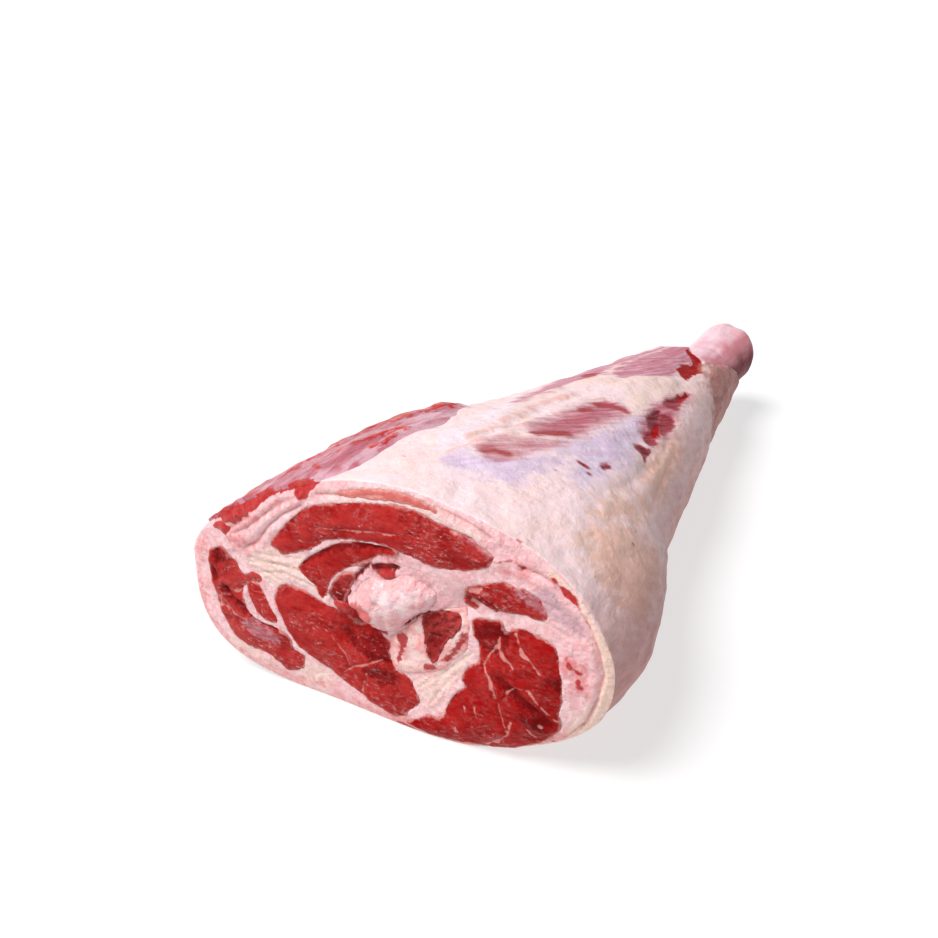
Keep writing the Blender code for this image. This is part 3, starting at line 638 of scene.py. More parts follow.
# Sides of the lean sheet: depth, angle.
SHEET_UPPER = ((0, 117), (14, 109), (80, 108), (104, 114), (118, 124))
SHEET_LOWER = ((0, 158), (55, 170), (100, 157), (118, 147))
SHEET_LENGTH = 118.0

# What shows on the cut fat, as outlines and lines of (x, z).
CUT_HOLLOW = (               # dark, bloody hollow beside the joint
    ((-24.6, 54.8), (-21.9, 52.1), (-16.8, 51.2), (-15.8, 44.4), (-17, 39.5), (-13.7, 36.2), (-8.9, 38.9),
     (-5.1, 39), (-3.1, 43.1), (-8.5, 41.5), (-11.1, 43.7), (-12.6, 48.4), (-13.2, 52.4), (-15.9, 53.6),
     (-13.7, 56.4), (-15.6, 58.6), (-19.2, 52.8), (-22.5, 55.4)),
    ((-15.6, 58.6), (-11.4, 63.9), (-7.9, 67.6), (-5.8, 70.9), (-4.3, 73.4), (-6.4, 73.1), (-9.2, 69.4),
     (-13.5, 64)),
    ((-4.4, 72), (-0.9, 73.8), (5.8, 75.2), (7.7, 73.7), (4.3, 71.2), (-1.2, 68.9), (-3.8, 69.5)),
    ((6, 47), (9, 48.5), (12.5, 51.8), (17, 56.5), (15, 56), (11.5, 53), (8, 50)),
)
CUT_SILVER = (((62.3, 79.8), (66.7, 82.2), (73.3, 77.5), (80.8, 72.0), (82.0, 67.3), (78.0, 67.5),
               (72.6, 70.7), (67.3, 72.5)),)
CUT_RED = (                  # raw red bits in the fat
    ((-77.5, 72.5), (-75.5, 77), (-70.5, 82), (-64.5, 87), (-61.5, 84.5), (-62.1, 78), (-66.8, 73.5),
     (-73.1, 70.7)),
    ((-62.5, 87), (-56, 90.5), (-50, 94), (-49, 90), (-51.5, 86.6), (-56.5, 82.6), (-61, 80.5)),
    ((-47.5, 92), (-44, 97), (-41.5, 98), (-40.5, 93.6), (-44.8, 90.4), (-46.8, 89)),
    ((-40.5, 97), (-36, 100), (-31.5, 101.5), (-30.8, 96.5), (-33, 93.5), (-37, 91), (-40, 92.2)),
    ((-13, 56.6), (-12.2, 52.4), (-8.7, 46.7), (-2.9, 44.7), (1.5, 42.2), (-5.1, 40.5), (-13.8, 36.7),
     (-17.3, 44.5), (-22.1, 49.9), (-18, 54)),
    ((-79.8, 66.6), (-75.7, 70), (-71.8, 69.4), (-73.2, 66.4), (-77.1, 66)),
    ((66.5, 86.8), (69, 85.4), (75, 80.8), (79.5, 76), (83.4, 70), (81, 73), (75.4, 78.8), (70.4, 83.4)),
    ((-11, 33.5), (-6, 39), (0, 39), (3, 36), (-1, 31), (-8, 30.5)),
    ((-65.5, 48), (-61, 51), (-56, 51), (-58, 49), (-63, 47)),
    ((46, 88), (53, 91), (57.5, 87.5), (53, 88.5)),
    ((-1, 72.6), (3, 72.6), (7, 71.6), (5.4, 68.8), (1.4, 67), (-1.9, 68.6)),
    ((76.1, 56.5), (77.7, 55.7), (78.8, 53.6), (77.9, 52.8), (76.6, 54.0)),
    ((78.8, 53.8), (80.4, 53.8), (81.9, 52.5), (80.8, 51.1), (79.3, 51.8)),
    ((79.9, 48.9), (81.1, 50.4), (82.5, 48.2), (83.5, 45.9), (81.9, 45.2), (80.5, 46.6)),
    ((4, 3), (9, 2.2), (20, 0.8), (36, 0.5), (50, 2.2), (62, 8), (70, 15), (72, 10), (64, 2), (50, -3),
     (10, -3)),
)
# Fat flushed pink with juice; the second outline is painted shade along a fold at the upper left.
CUT_BLUSH_AND_SHADE = (                # fat flushed pink with juice
    ((-71.4, 66), (-64.6, 67.7), (-61.3, 66), (-57.8, 67.6), (-59.2, 64), (-66.6, 60.6), (-70.6, 61.5)),
    # painted shade along the fold
    ((-69.4, 68), (-62, 72.6), (-55.1, 79), (-46.7, 86), (-50, 84), (-58, 77.5), (-66, 72)),
    ((-93, 54.4), (-85.6, 59.3), (-87.4, 54.4), (-92.2, 48.2)),
    ((-90, 36), (-96, 46), (-97, 36)),
    ((74.7, 56.4), (78, 59), (82.8, 55.9), (85.5, 48.2), (83.4, 43.2), (78.7, 43.7), (76, 49.9)),
    ((50, 84), (58, 87), (62, 84), (56, 82)),
    ((-72, 10), (-50, 4), (-26, 8), (-48, 7)),
    ((-16, 77), (-4, 79), (6, 78), (2, 75)),
)
CUT_CREAM = (                # firmer, creamy seams of fat
    ((-62, 60), (-50.1, 65.7), (-43.5, 64.1), (-34.8, 66.1), (-28.6, 57.8), (-23.7, 51.9), (-33.1, 53.4),
     (-39.5, 54.5), (-48.9, 49.3), (-55.7, 51.3), (-62.6, 54.4)),
    ((-26, 94), (-8, 99.5), (12, 103), (30, 100), (43, 95), (30, 98), (10, 101.5), (-8, 98)),
    ((14, 24), (26, 34), (34, 44), (38, 46), (34, 36), (28, 27), (20, 14)),
    ((74, 22), (80, 32), (86, 40), (82, 26), (74, 12)),
    ((-78, 14), (-66, 8), (-54, 4), (-50, 7), (-60, 12), (-70, 17)),
    ((-44, 7), (-36, 16), (-26, 12), (-30, 4)),
)
CUT_BAND = (                 # the fell itself, cut across round the right side
    ((65.9, 88.0), (69.9, 84.0), (75.6, 80.0), (82.7, 71.5), (87.2, 61.8), (89.2, 52.9), (87.7, 42.6),
     (83.6, 30.4), (75.4, 19.3), (80, 14), (92, 28), (100, 42), (100, 60), (94, 74), (82, 88), (70, 94)),
)
FELL_LINES = (               # edges of the layers of fell and fat, as the saw left them
    ((57, 87.5), (63, 86.5), (70, 83.6), (75.6, 79.6), (82.5, 71.3), (87.2, 61.8), (89.2, 52.9),
     (87.7, 42.6), (83.6, 30.4), (75.4, 19.3)),
    ((-72.5, 67.6), (-65.5, 73.4), (-60.8, 77)),
    ((-69.4, 67.2), (-62, 72.1), (-55.1, 78.4), (-46.7, 85.7), (-39.5, 90.6)),
    ((-64, 62.5), (-57.8, 66.5), (-51.7, 75.5), (-45.2, 82), (-36.8, 87.9)),
    ((22, 104), (30, 102), (37, 100), (44, 96.5)),
    ((-30, 94), (-12, 99), (1, 101.5)),
)
FAT_FIBRES = (               # fine lines in the creamy fat
    ((-58.2, 62.2), (-50.3, 62.6), (-37, 65.5)),
    ((-62.3, 56.6), (-48.2, 59.6), (-37.1, 60.4), (-28.7, 56.7)),
    ((-58, 52.7), (-46.1, 56.6), (-35.1, 55.9), (-24.7, 52.7)),
    ((-62.1, 58.8), (-55.1, 59), (-42.5, 60.8)),
    ((-60.5, 54.6), (-52, 54.2), (-44, 52)),
    ((14, 22), (24, 31), (33, 41), (38, 46)),
    ((20, 17), (25, 26), (31, 34)),
    ((60, 70.5), (68, 69), (76, 66)),
    ((62, 78), (72, 75), (81, 70)),
    ((76, 24), (82, 34), (85, 44)),
    ((78, 20), (85, 32), (88, 42)),
)

SKIN_UNROLL = 52.0           # mm round the leg for each radian
GRAIN_TURN = 26.0            # degrees that the muscle's grain turns from the leg's length
# The first zone below is painted shade: the fell darker and browner low round the leg.
UNDERSIDE_SHADE = (-60.0, 80.0)    # middle and half width of zones round the leg, in degrees
FLUSHED = (-10.0, 74.0)
# The zone below is painted shade on the gristle low on the right, over slightly darker gristle.
DARK_GRISTLE_AND_SHADE = (-36.0, 57.0)
RED_RIM = (135.0, 18.0)      # raw red along the rim of the cut, this deep, at about this radius
RED_RIM_DEPTH = 2.5
RIM_RADIUS = 68.75
RIDGE_HALF_WIDTH = 3.5
FOLD_HALF_WIDTH = 1.2
DOT_RADIUS = 1.0
SMEAR_HEIGHT = 32.0          # below this the rim of the cut is smeared with juice
SMEAR_WIDTH, SMEAR_SWING = 3.6, 5.0
LAYER_HALF_WIDTH = 0.4
FIBRE_HALF_WIDTH = 0.3
# Each groove: its depth and width, then how high its lips are, how far off and how wide.
CREASE = (0.55, 1.8, 0.3, 4.0, 2.8)
LAYER_GROOVE = (0.9, 0.9, 0.5, 2.6, 1.6)
FIBRE_GROOVE = (0.35, 0.6, 0.2, 1.3, 0.8)
SWELL_HEIGHT, SWELL_SIZE = 0.9, 26.0     # slow swellings of the skin, then its finer lumps
LUMPS_OVER_LEAN, LUMPS_OVER_FAT, LUMP_SIZE = 0.15, 0.60, 8.0
RIDGE_HEIGHT, RIDGE_WIDTH = 1.3, 4.5
FOLD_HEIGHT, FOLD_WIDTH = 0.5, 2.0
SUNKEN = (                   # zone, how deep it lies, where its slope starts and ends
    ("thin", 0.6, -2, 3), ("shank", 0.5, -2, 3), ("bare", 0.6, -1, 2), ("bright", 0.5, -1, 2))
TENDON_LUMPS = 0.8
COLLAR_SINK = 0.8            # how deep the end of the fell sinks in round the knuckle
SHEET_BED = 2.2              # how deep the skin drops under the sheet of lean
CUT_COARSE, CUT_FINE = 0.55, 0.25
RED_LUMPS = 1.1              # how far the raw red bits stand up
HOLLOW_DEPTH = 2.6
MUSCLE_BED = 3.5             # how deep the fat drops under the edge of a muscle
SKIN_ANGLES = 330
SKIN_RINGS = 222
CUT_SPACING = 0.75           # of the lattice where the cut shows
COVERED_SPACING = 3.0        # and under the muscles
OUTLINE_SPACING = 1.5
UNDER_EDGE = 2.0             # the fine lattice runs on this far below the pieces of the cut


def unrolled(depth, degrees):
    """Depth and angle as mm along and round the leg, so that distances on the skin are true."""
    right, top = section_at(depth)[3:5]
    return np.stack([np.asarray(depth, float), np.radians(degrees) * (top + right) / 2], axis=-1)


def skin_region(outlines, flat):
    """Signed distance on the skin from the nearest of some (depth, angle) outlines."""
    rings = [closed_curve(unrolled(*np.array(o, float).T), 3.0) for o in outlines]
    return largest([inside_distance(ring, flat) for ring in rings])


def skin_line(line, flat):
    """Distance on the skin from a line of (depth, angle)."""
    return line_distance(unrolled(*np.array(line, float).T), flat)


def grain_lie(degrees, depth, turn=0.0):
    """Coordinates in mm whose second axis follows the muscle's grain, turned from the leg's length."""
    round_leg = np.radians(degrees) * SKIN_UNROLL
    c, s = math.cos(math.radians(turn)), math.sin(math.radians(turn))
    return np.stack([c * round_leg + s * depth, c * depth - s * round_leg, 0 * depth], axis=-1)


def turn_inside(degrees, zone):
    """Angle in radians from the nearer side of a zone round the leg, negative outside it."""
    middle, half_width = zone
    return np.radians(half_width - np.abs((degrees - middle + 180) % 360 - 180))


def groove(gap, deep, wide, lip, lip_at, lip_wide):
    """Height at a distance from a line: a groove with a soft lip along each side."""
    return lip * np.exp(-((gap - lip_at) / lip_wide)**2) - deep * np.exp(-(gap / wide)**2)


def even_angles(count):
    """Angles whose points lie evenly round the cut's edge."""
    fine = np.linspace(0, 2 * math.pi, 1441)
    edge = leg_points(0.0, 1.0, fine)
    along = np.concatenate([[0], np.cumsum(np.linalg.norm(np.diff(edge, axis=0), axis=1))])
    return np.interp(np.arange(count) / count * along[-1], along, fine)


def skin_zones(d, degrees, flat):
    """Each zone of the skin as a signed distance in mm, and the lie of its grain."""
    radius = section_at(d)[4]
    windows = (np.minimum(skin_region(CLEAR_WINDOW, flat), WINDOW_FADE * (degrees - WINDOW_FOOT)),
               np.minimum(skin_region(FAINT_WINDOW, flat), FAINT),
               skin_region(FLANK_WINDOW, flat))
    holes = [wide - skin_line(line, flat) for wide, line in FLECKS]
    red_rim = np.minimum(RED_RIM_DEPTH - d, turn_inside(degrees, RED_RIM) * RIM_RADIUS)
    return {
        "thin": largest(windows),
        "streak": largest([wide - skin_line(line, flat) for wide, line in DARK_STREAKS]),
        "silver": skin_region(SILVER_FILM, flat),
        "veil": skin_region(WHITE_VEIL, flat),
        "folds": largest([FOLD_HALF_WIDTH - skin_line(line, flat) for line in FOLDS]),
        "bare": largest([skin_region(BARE_LEAN, flat)] + holes),
        "clot": skin_region(CLOT_LEAN, flat),
        "bright": np.maximum(skin_region(BRIGHT_LEAN, flat), red_rim),
        "shank": skin_region(SHANK_LEAN, flat),
        "peach": skin_region(PEACH_FAT, flat),
        "cream": largest([skin_region(CREAM_FAT, flat), RIDGE_HALF_WIDTH - skin_line(RIDGE, flat)]),
        "tendon": skin_region(TENDON_COLLAR, flat),
        "dots": largest([DOT_RADIUS - skin_line((dot,), flat) for dot in RED_DOTS]),
        "blush_and_shade": np.full(len(d), -REACH),
        # painted shade, darker low round the leg
        "low": turn_inside(degrees, UNDERSIDE_SHADE) * radius,
        "gristle": d - np.interp(degrees, *zip(*COLLAR_LINE)),
        "flushed": turn_inside(degrees, FLUSHED) * radius,
        # painted shade low on the right of the bare gristle, over slightly darker gristle
        "deep": turn_inside(degrees, DARK_GRISTLE_AND_SHADE) * radius,
        "skinwise": grain_lie(degrees, d, GRAIN_TURN),
    }


def skin_relief(p, d, degrees, flat, maps):
    """How far the skin stands out from its smooth form: lumps, creases, sunken zones and its ends."""
    fatty = smooth(-largest([maps[zone] for zone, *_ in SUNKEN]), -1.0, 3.0)
    high = SWELL_HEIGHT * grain(p, SWELL_SIZE, 2)
    lumps = LUMPS_OVER_LEAN + (LUMPS_OVER_FAT - LUMPS_OVER_LEAN) * fatty
    high += lumps * grain(p, LUMP_SIZE, 2, (1, 1.4, 1), 7.3)
    high += RIDGE_HEIGHT * np.exp(-(skin_line(RIDGE, flat) / RIDGE_WIDTH)**2)
    for line in CREASES:
        high += groove(skin_line(line, flat), *CREASE)
    high += largest([FOLD_HEIGHT * np.exp(-(skin_line(line, flat) / FOLD_WIDTH)**2) for line in FOLDS])
    for zone, deep, start, stop in SUNKEN:
        high -= deep * smooth(maps[zone], start, stop)
    high += TENDON_LUMPS * smooth(maps["tendon"], -4, 6) * grain(p, 6, 2, (1, 1.8, 1), 1.9)

    # At the hock the fell thins out and draws in round the bone.
    gristle = maps["gristle"]
    high *= 1 - 0.9 * smooth(gristle, -1.0, 3.0)
    mid, wide, _, _, radius = section_at(d)[:5]
    stands = np.hypot(p[:, 0] - mid, p[:, 2] - wide) - np.interp(d, *zip(*NECK_RADII))
    high -= np.clip(stands, 0.0, NECK_SINK) * smooth(gristle, 0.0, 9.0)
    high -= COLLAR_SINK * smooth(gristle, -1.0, 1.5)

    # The sheet of lean lies in a shallow bed.
    upper, lower = np.interp(d, *zip(*SHEET_UPPER)), np.interp(d, *zip(*SHEET_LOWER))
    in_sheet = np.radians(np.minimum(degrees - upper, lower - degrees)) * radius
    high -= SHEET_BED * smooth(np.minimum(in_sheet, SHEET_LENGTH - d), 0.0, 7.0)
    return high * smooth(d, -3.0, 5.0)


def cut_zones(inner, to_rim):
    """Each zone of the cut fat as a signed distance in mm. Skin and cut are one mesh and share their
    names: here low is the band of fell, bare the hollow, thin the edges of the layers and shank the
    fine fibres."""
    smear = SMEAR_WIDTH + SMEAR_SWING * grain(on_plane(inner), 14, 2, shift=2.0) - to_rim
    smear = np.where(inner[:, 1] < SMEAR_HEIGHT, smear, -REACH)
    return {
        "thin": largest([LAYER_HALF_WIDTH - line_distance(line, inner) for line in FELL_LINES]),
        "shank": largest([FIBRE_HALF_WIDTH - line_distance(line, inner) for line in FAT_FIBRES]),
        "low": zones(CUT_BAND, inner),
        "silver": zones(CUT_SILVER, inner),
        "bare": zones(CUT_HOLLOW, inner),
        "bright": zones(CUT_RED, inner, 1.0),
        "blush_and_shade": np.maximum(smear, zones(CUT_BLUSH_AND_SHADE, inner)),
        "cream": zones(CUT_CREAM, inner),
    }


def cut_lumps(inner, to_rim, maps):
    """How far the cut fat stands proud: lumps, layer lines and fibres, and its beds for the muscles."""
    at = on_plane(inner)
    proud = CUT_COARSE * grain(at, 9, 3) + CUT_FINE * grain(at, 3, 2, shift=4.4)
    for lines, shape in ((FELL_LINES, LAYER_GROOVE), (FAT_FIBRES, FIBRE_GROOVE)):
        for line in lines:
            proud += groove(line_distance(line, inner), *shape)
    proud += RED_LUMPS * smooth(maps["bright"], -0.8, 3.0) * (1 + 0.8 * grain(at, 3.5, 2, shift=6.0))
    proud -= HOLLOW_DEPTH * smooth(maps["bare"], -0.6, 2.5)
    proud *= smooth(to_rim, 0.0, 4.0)
    return proud - MUSCLE_BED * smooth(zones(CUT_OUTLINES, inner, OUTLINE_SPACING), 0.35, 1.5)


def facing_front(points, faces):
    """Faces of the cut, turned so that they look out of it."""
    a, b, c = (points[faces[0][k]] for k in range(3))
    if np.cross(b - a, c - a)[1] > 0:
        return [face[::-1] for face in faces]
    return faces


def make_fat_and_fell():
    angles = even_angles(SKIN_ANGLES)
    depth, angle = np.meshgrid(np.linspace(0, FELL_LENGTH, SKIN_RINGS), angles, indexing="ij")
    skin = skin_points(depth, angle)
    normal = np.cross(np.gradient(skin, axis=0), np.roll(skin, -1, axis=1) - np.roll(skin, 1, axis=1))
    normal /= np.linalg.norm(normal, axis=-1, keepdims=True) + 1e-9
    p = skin.reshape(-1, 3)
    d = depth.ravel()
    degrees = (np.degrees(angle.ravel()) + 90) % 360 - 90
    flat = unrolled(d, degrees)
    maps = skin_zones(d, degrees, flat)
    p = p + normal.reshape(-1, 3) * skin_relief(p, d, degrees, flat, maps)[:, None]
    p[:, 2] = np.maximum(p[:, 2], 0.0)

    # The cut is a fine lattice where it shows and a coarse one under the muscles.
    rim = p[:SKIN_ANGLES, (0, 2)]
    inner, covered = lattice(rim, CUT_SPACING), lattice(rim, COVERED_SPACING)
    open_to_view = zones(CUT_OUTLINES, inner, OUTLINE_SPACING) < UNDER_EDGE
    hidden = zones(CUT_OUTLINES, covered, OUTLINE_SPACING) > UNDER_EDGE + 0.5
    inner = np.vstack([inner[open_to_view], covered[hidden]])
    to_rim = inside_distance(rim, inner)
    cut_maps = cut_zones(inner, to_rim)
    proud = cut_relief(inner) + cut_lumps(inner, to_rim, cut_maps)
    cut = np.stack([inner[:, 0], CUT_Y - proud, inner[:, 1]], axis=1)

    # One more ring and a point close the fell behind the knuckle.
    end_ring = leg_points(FELL_LENGTH + COLLAR_LIP, COLLAR_TURN, angles)
    points = np.vstack([p, end_ring, [end_ring.mean(axis=0)], cut])
    collar = SKIN_RINGS * SKIN_ANGLES
    end = collar + SKIN_ANGLES
    faces = ring_sides(0, SKIN_ANGLES, SKIN_RINGS + 1)
    faces += [(collar + i, collar + (i + 1) % SKIN_ANGLES, end) for i in range(SKIN_ANGLES)]
    faces = [face[::-1] for face in faces]
    index = list(range(SKIN_ANGLES)) + list(range(end + 1, len(points)))
    cut_faces = facing_front(points, [[index[k] for k in t] for t in face_triangles(rim, inner)])
    attributes = {}
    for key, values in maps.items():
        on_end = values[-SKIN_ANGLES:]
        on_cut = cut_maps.get(key, np.full((len(inner),) + values.shape[1:], -REACH))
        attributes[key] = np.concatenate([values, on_end, on_end[:1], on_cut])
    kinds = np.repeat([0, 1], [len(faces), len(cut_faces)])
    return made_piece("fat_and_fell_surface", points, faces + cut_faces, attributes,
                      (fell_material(), cut_fat_material()), kinds)


fat = make_fat_and_fell()
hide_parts("fat_and_fell")
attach(fat, "root")

# ==== Lean muscles at the cut =================================================================
# Each muscle is a separate bundle in its own silverskin, sawn across its grain: wet, deep red, with
# white lines of marbling. A face of fine triangles follows the cut, and rings run back in the fat.
RUN_RINGS = (                # share of the way back, share of the width that is left there
    (0.3, 0.98), (0.6, 0.95), (0.85, 0.86), (1.0, 0.55))
FACE_SPACING = 0.7
FLOOR_GAP = 0.5
EDGE_WANDER = 0.48           # how far the sides of a face swing in and out
VEIN_WANDER = 0.6
VEIN_GROOVE = (0.35, 0.9, 0.2, 2.2, 1.4)


def cut_piece(name, outline, reach, proud_at, materials, veins=(), stains_and_shade=(), films=(), clefts=(),
              spacing=FACE_SPACING):
    """A piece of the cut: its face at a height given by proud_at, its sides running back."""
    ring = closed_curve(outline, spacing)
    outwards = np.roll(ring, -1, axis=0) - np.roll(ring, 1, axis=0)
    outwards = np.stack([outwards[:, 1], -outwards[:, 0]], axis=1)
    outwards /= np.linalg.norm(outwards, axis=1)[:, None]
    ring = ring + outwards * (EDGE_WANDER * grain(on_plane(ring), 2.2, 2, shift=2.2))[:, None]
    ring[:, 1] = np.maximum(ring[:, 1], FLOOR_GAP)
    inner = lattice(ring, spacing)
    flat = np.vstack([ring, inner])
    depth_in = np.concatenate([np.zeros(len(ring)), inside_distance(ring, inner, 60.0)])
    proud = proud_at(flat, depth_in)
    wander = grain(on_plane(flat), 4.5, 2, shift=5.5)
    bent = flat + VEIN_WANDER * wander[:, None]
    maps = {key: [np.full(len(flat), -REACH)] for key in ("vein", "stain_and_shade", "film")}
    for width, line in veins:
        gap = line_distance(line, bent)
        maps["vein"].append(width * (0.36 + 0.6 * wander) - gap)
        proud += groove(gap, *VEIN_GROOVE)
    # Along each cleft the dark red of the stains is painted shade in the crease.
    for width, deep, line in clefts:
        gap = line_distance(line, bent)
        maps["stain_and_shade"].append(width / 2 - gap)
        proud += groove(gap, deep, width / 2, 0.4 * deep, width, 2.0)
    for key, outlines in (("stain_and_shade", stains_and_shade), ("film", films)):
        maps[key] += [inside_distance(closed_curve(o, 1.0), flat) for o in outlines]
    face = np.stack([flat[:, 0], CUT_Y - cut_relief(flat) - proud, flat[:, 1]], axis=1)
    middle = ring.mean(axis=0)
    rings = []
    for share, width in RUN_RINGS:
        back = middle + (ring - middle) * width
        points = leg_points(share * reach, *share_and_angle(back))
        points[:, 2] = np.maximum(points[:, 2], 2 * FLOOR_GAP)
        rings.append(points)
    count = len(ring)
    points = np.vstack([face] + rings)
    faces = facing_front(points, face_triangles(ring, inner))
    index = list(range(count)) + list(range(len(flat), len(points)))
    area = np.sum(ring[:, 0] * np.roll(ring[:, 1], -1) - np.roll(ring[:, 0], -1) * ring[:, 1])
    sides = [[index[k] for k in f] for f in ring_sides(0, count, len(RUN_RINGS) + 1)]
    last = [index[k] for k in range(len(RUN_RINGS) * count, len(RUN_RINGS) * count + count)]
    if area > 0:
        sides = [f[::-1] for f in sides]
        last = last[::-1]
    rest = len(points) - len(flat)
    attributes = {"edge": np.concatenate([depth_in, np.zeros(rest)])}
    for key, values in maps.items():
        attributes[key] = np.concatenate([largest(values), np.full(rest, -REACH)])
    return made_piece(name, points, faces + sides + [last[::-1]], attributes, materials)


def domed(dome, coarse=0.45, fine=0.18, shift=0.0, edge_drop=0.1):
    """Heights of a face that swells to dome in its middle, with lumps and a softened edge."""
    def heights(flat, depth_in):
        deepest = max(depth_in.max(), 1.0)
        at = on_plane(flat)
        proud = dome * (1 - (1 - depth_in / deepest)**2)
        proud += coarse * grain(at, 8, 2, (1.5, 1, 1), shift)
        proud += fine * grain(at, 2.6, 2, (1.6, 1, 1), shift + 3)
        return proud - edge_drop * (1 - smooth(depth_in, 0.0, 1.8))
    return heights


def lean_material(name, deep, mid, pale, wet, fell="#e6aaa2"):
    """Raw lean across the grain: deep red, fine-grained, glossy with meat juice."""
    material, tree, place = new_material(name)
    broad = mottle(tree, place, 15.0, (1.5, 1, 1), 3.0, 0.38, 0.62)
    blotch = mottle(tree, place, 5.0, (1.6, 1, 1), 5.0, 0.38, 0.64)
    bundles = mottle(tree, place, 1.4, (2.2, 1, 1), 3.0, 0.38, 0.64)
    beads = mottle(tree, place, 1.1, (1.6, 1, 1), 2.0, 0.38, 0.70)
    sparks = mottle(tree, place, 1.3, (1.8, 1, 1), 2.0, 0.50, 0.62)
    ripples = mottle(tree, place, 1.6, (1.6, 1, 1), 3.0, 0.30, 0.70)
    puddles = mottle(tree, place, 13.0, (1, 1, 1), 3.0, 0.40, 0.58)
    torn = mottle(tree, place, 2.2, (1, 1, 1), 4.0, 0.25, 0.75)
    seams = add(tree, "ShaderNodeTexNoise", {"Vector": place, "Scale": 1 / 9.0, "Detail": 3.0})
    seams = add(tree, "ShaderNodeMath", {0: seams, 1: 0.5, 2: 0.006}, operation="COMPARE")
    colour = coats(tree, mid, (
        (times(tree, broad, 0.8), deep),
        (times(tree, blotch, 0.55), pale),
        (times(tree, bundles, 0.14), "#cc554e"),
        (times(tree, seams, puddles, 0.22), "#d67a70")))
    vein = region(tree, "vein", torn, 0.6, 0.25)
    # stain: the dark red of blood, and painted shade along clefts and in hollows
    stain_and_shade = region(tree, "stain_and_shade", torn, 3.0, 1.4)
    film = region(tree, "film", torn, 2.0, 1.6)
    rim = add(tree, "ShaderNodeAttribute", out=2, attribute_name="edge")
    rim = add(tree, "ShaderNodeMath", {0: rim, 1: torn}, operation="SUBTRACT")
    rim = add(tree, "ShaderNodeMapRange", {"Value": rim, "From Min": -0.4, "From Max": 0.5,
                                           "To Min": 1.0, "To Max": 0.0})
    colour = coats(tree, colour, (
        (times(tree, stain_and_shade, 0.8), coats(tree, "#650508", ((times(tree, blotch, 0.6), "#921013"),))),
        (times(tree, film, 0.7), coats(tree, "#a8646c", ((times(tree, bundles, 0.6), "#d3a0ac"),))),
        (times(tree, vein, 0.62), "#e6a49b"),
        (times(tree, rim, 0.5), fell)))
    normal = bumps(tree, (
        (blotch, 1.0, 0.3), (bundles, 0.4, 0.35), (times(tree, beads, puddles), 0.7, 0.4 * wet)))
    finish(tree, {
        "Base Color": colour, "Roughness": 0.42, "IOR": 1.38, "Specular IOR Level": 0.06,
        "Subsurface Weight": 0.12, "Subsurface Radius": (1.0, 0.2, 0.15), "Subsurface Scale": 0.002,
        "Coat Weight": times(tree, sparks, puddles, wet), "Coat Roughness": 0.13, "Coat IOR": 1.9,
        "Coat Normal": bumps(tree, ((ripples, 2.2, 1.0),)), "Normal": normal})
    return material


red_lean = lean_material("red lean", "#98100f", "#aa1c1b", "#bb3330", 0.7)
moist_lean = lean_material("moist lean", "#8f0a0c", "#a61617", "#be3a37", 1.0)
bright_lean = lean_material("bright lean", "#850204", "#9e090b", "#ad1d1b", 0.5)
dark_lean = lean_material("dark lean", "#8b1215", "#a82323", "#be4440", 0.9)
pale_lean = lean_material("pale lean", "#c05c58", "#ce7069", "#dc8d84", 0.4, "#e9b3a8")

MUSCLES = (                  # name, outline, how far back it runs, heights, material, slot
    ("topside_muscle", TOPSIDE, 205, domed(1.6, 0.5, 0.28, 1.0), moist_lean, "lean"),
    ("adductor_muscle", ADDUCTOR, 120, domed(0.6, 0.4, 0.22, 2.0), red_lean, "lean"),
    ("inner_slip", INNER_SLIP, 45, domed(0.5, 0.4, 0.2, 3.0), dark_lean, "dark_lean"),
    ("silverside_muscle", SILVERSIDE, 215, domed(1.8, 0.6, 0.22, 4.0), red_lean, "lean"),
    ("flank_muscle", FLANK, 110, domed(1.0, 0.6, 0.25, 5.0), dark_lean, "dark_lean"),
    ("eye_muscle", EYE, 80, domed(0.8, 0.3, 0.15, 6.0), red_lean, "lean"),
    ("outer_muscle", OUTER, 140, domed(1.0, 0.4, 0.2, 7.0), moist_lean, "lean"),
    ("thick_flank_muscle", THICK_FLANK, 195, domed(2.0, 0.6, 0.25, 8.0), bright_lean, "lean"),
    ("pale_slip", PALE_SLIP, 60, domed(0.4, 0.2, 0.1, 9.0), pale_lean, "pale_lean"),
)
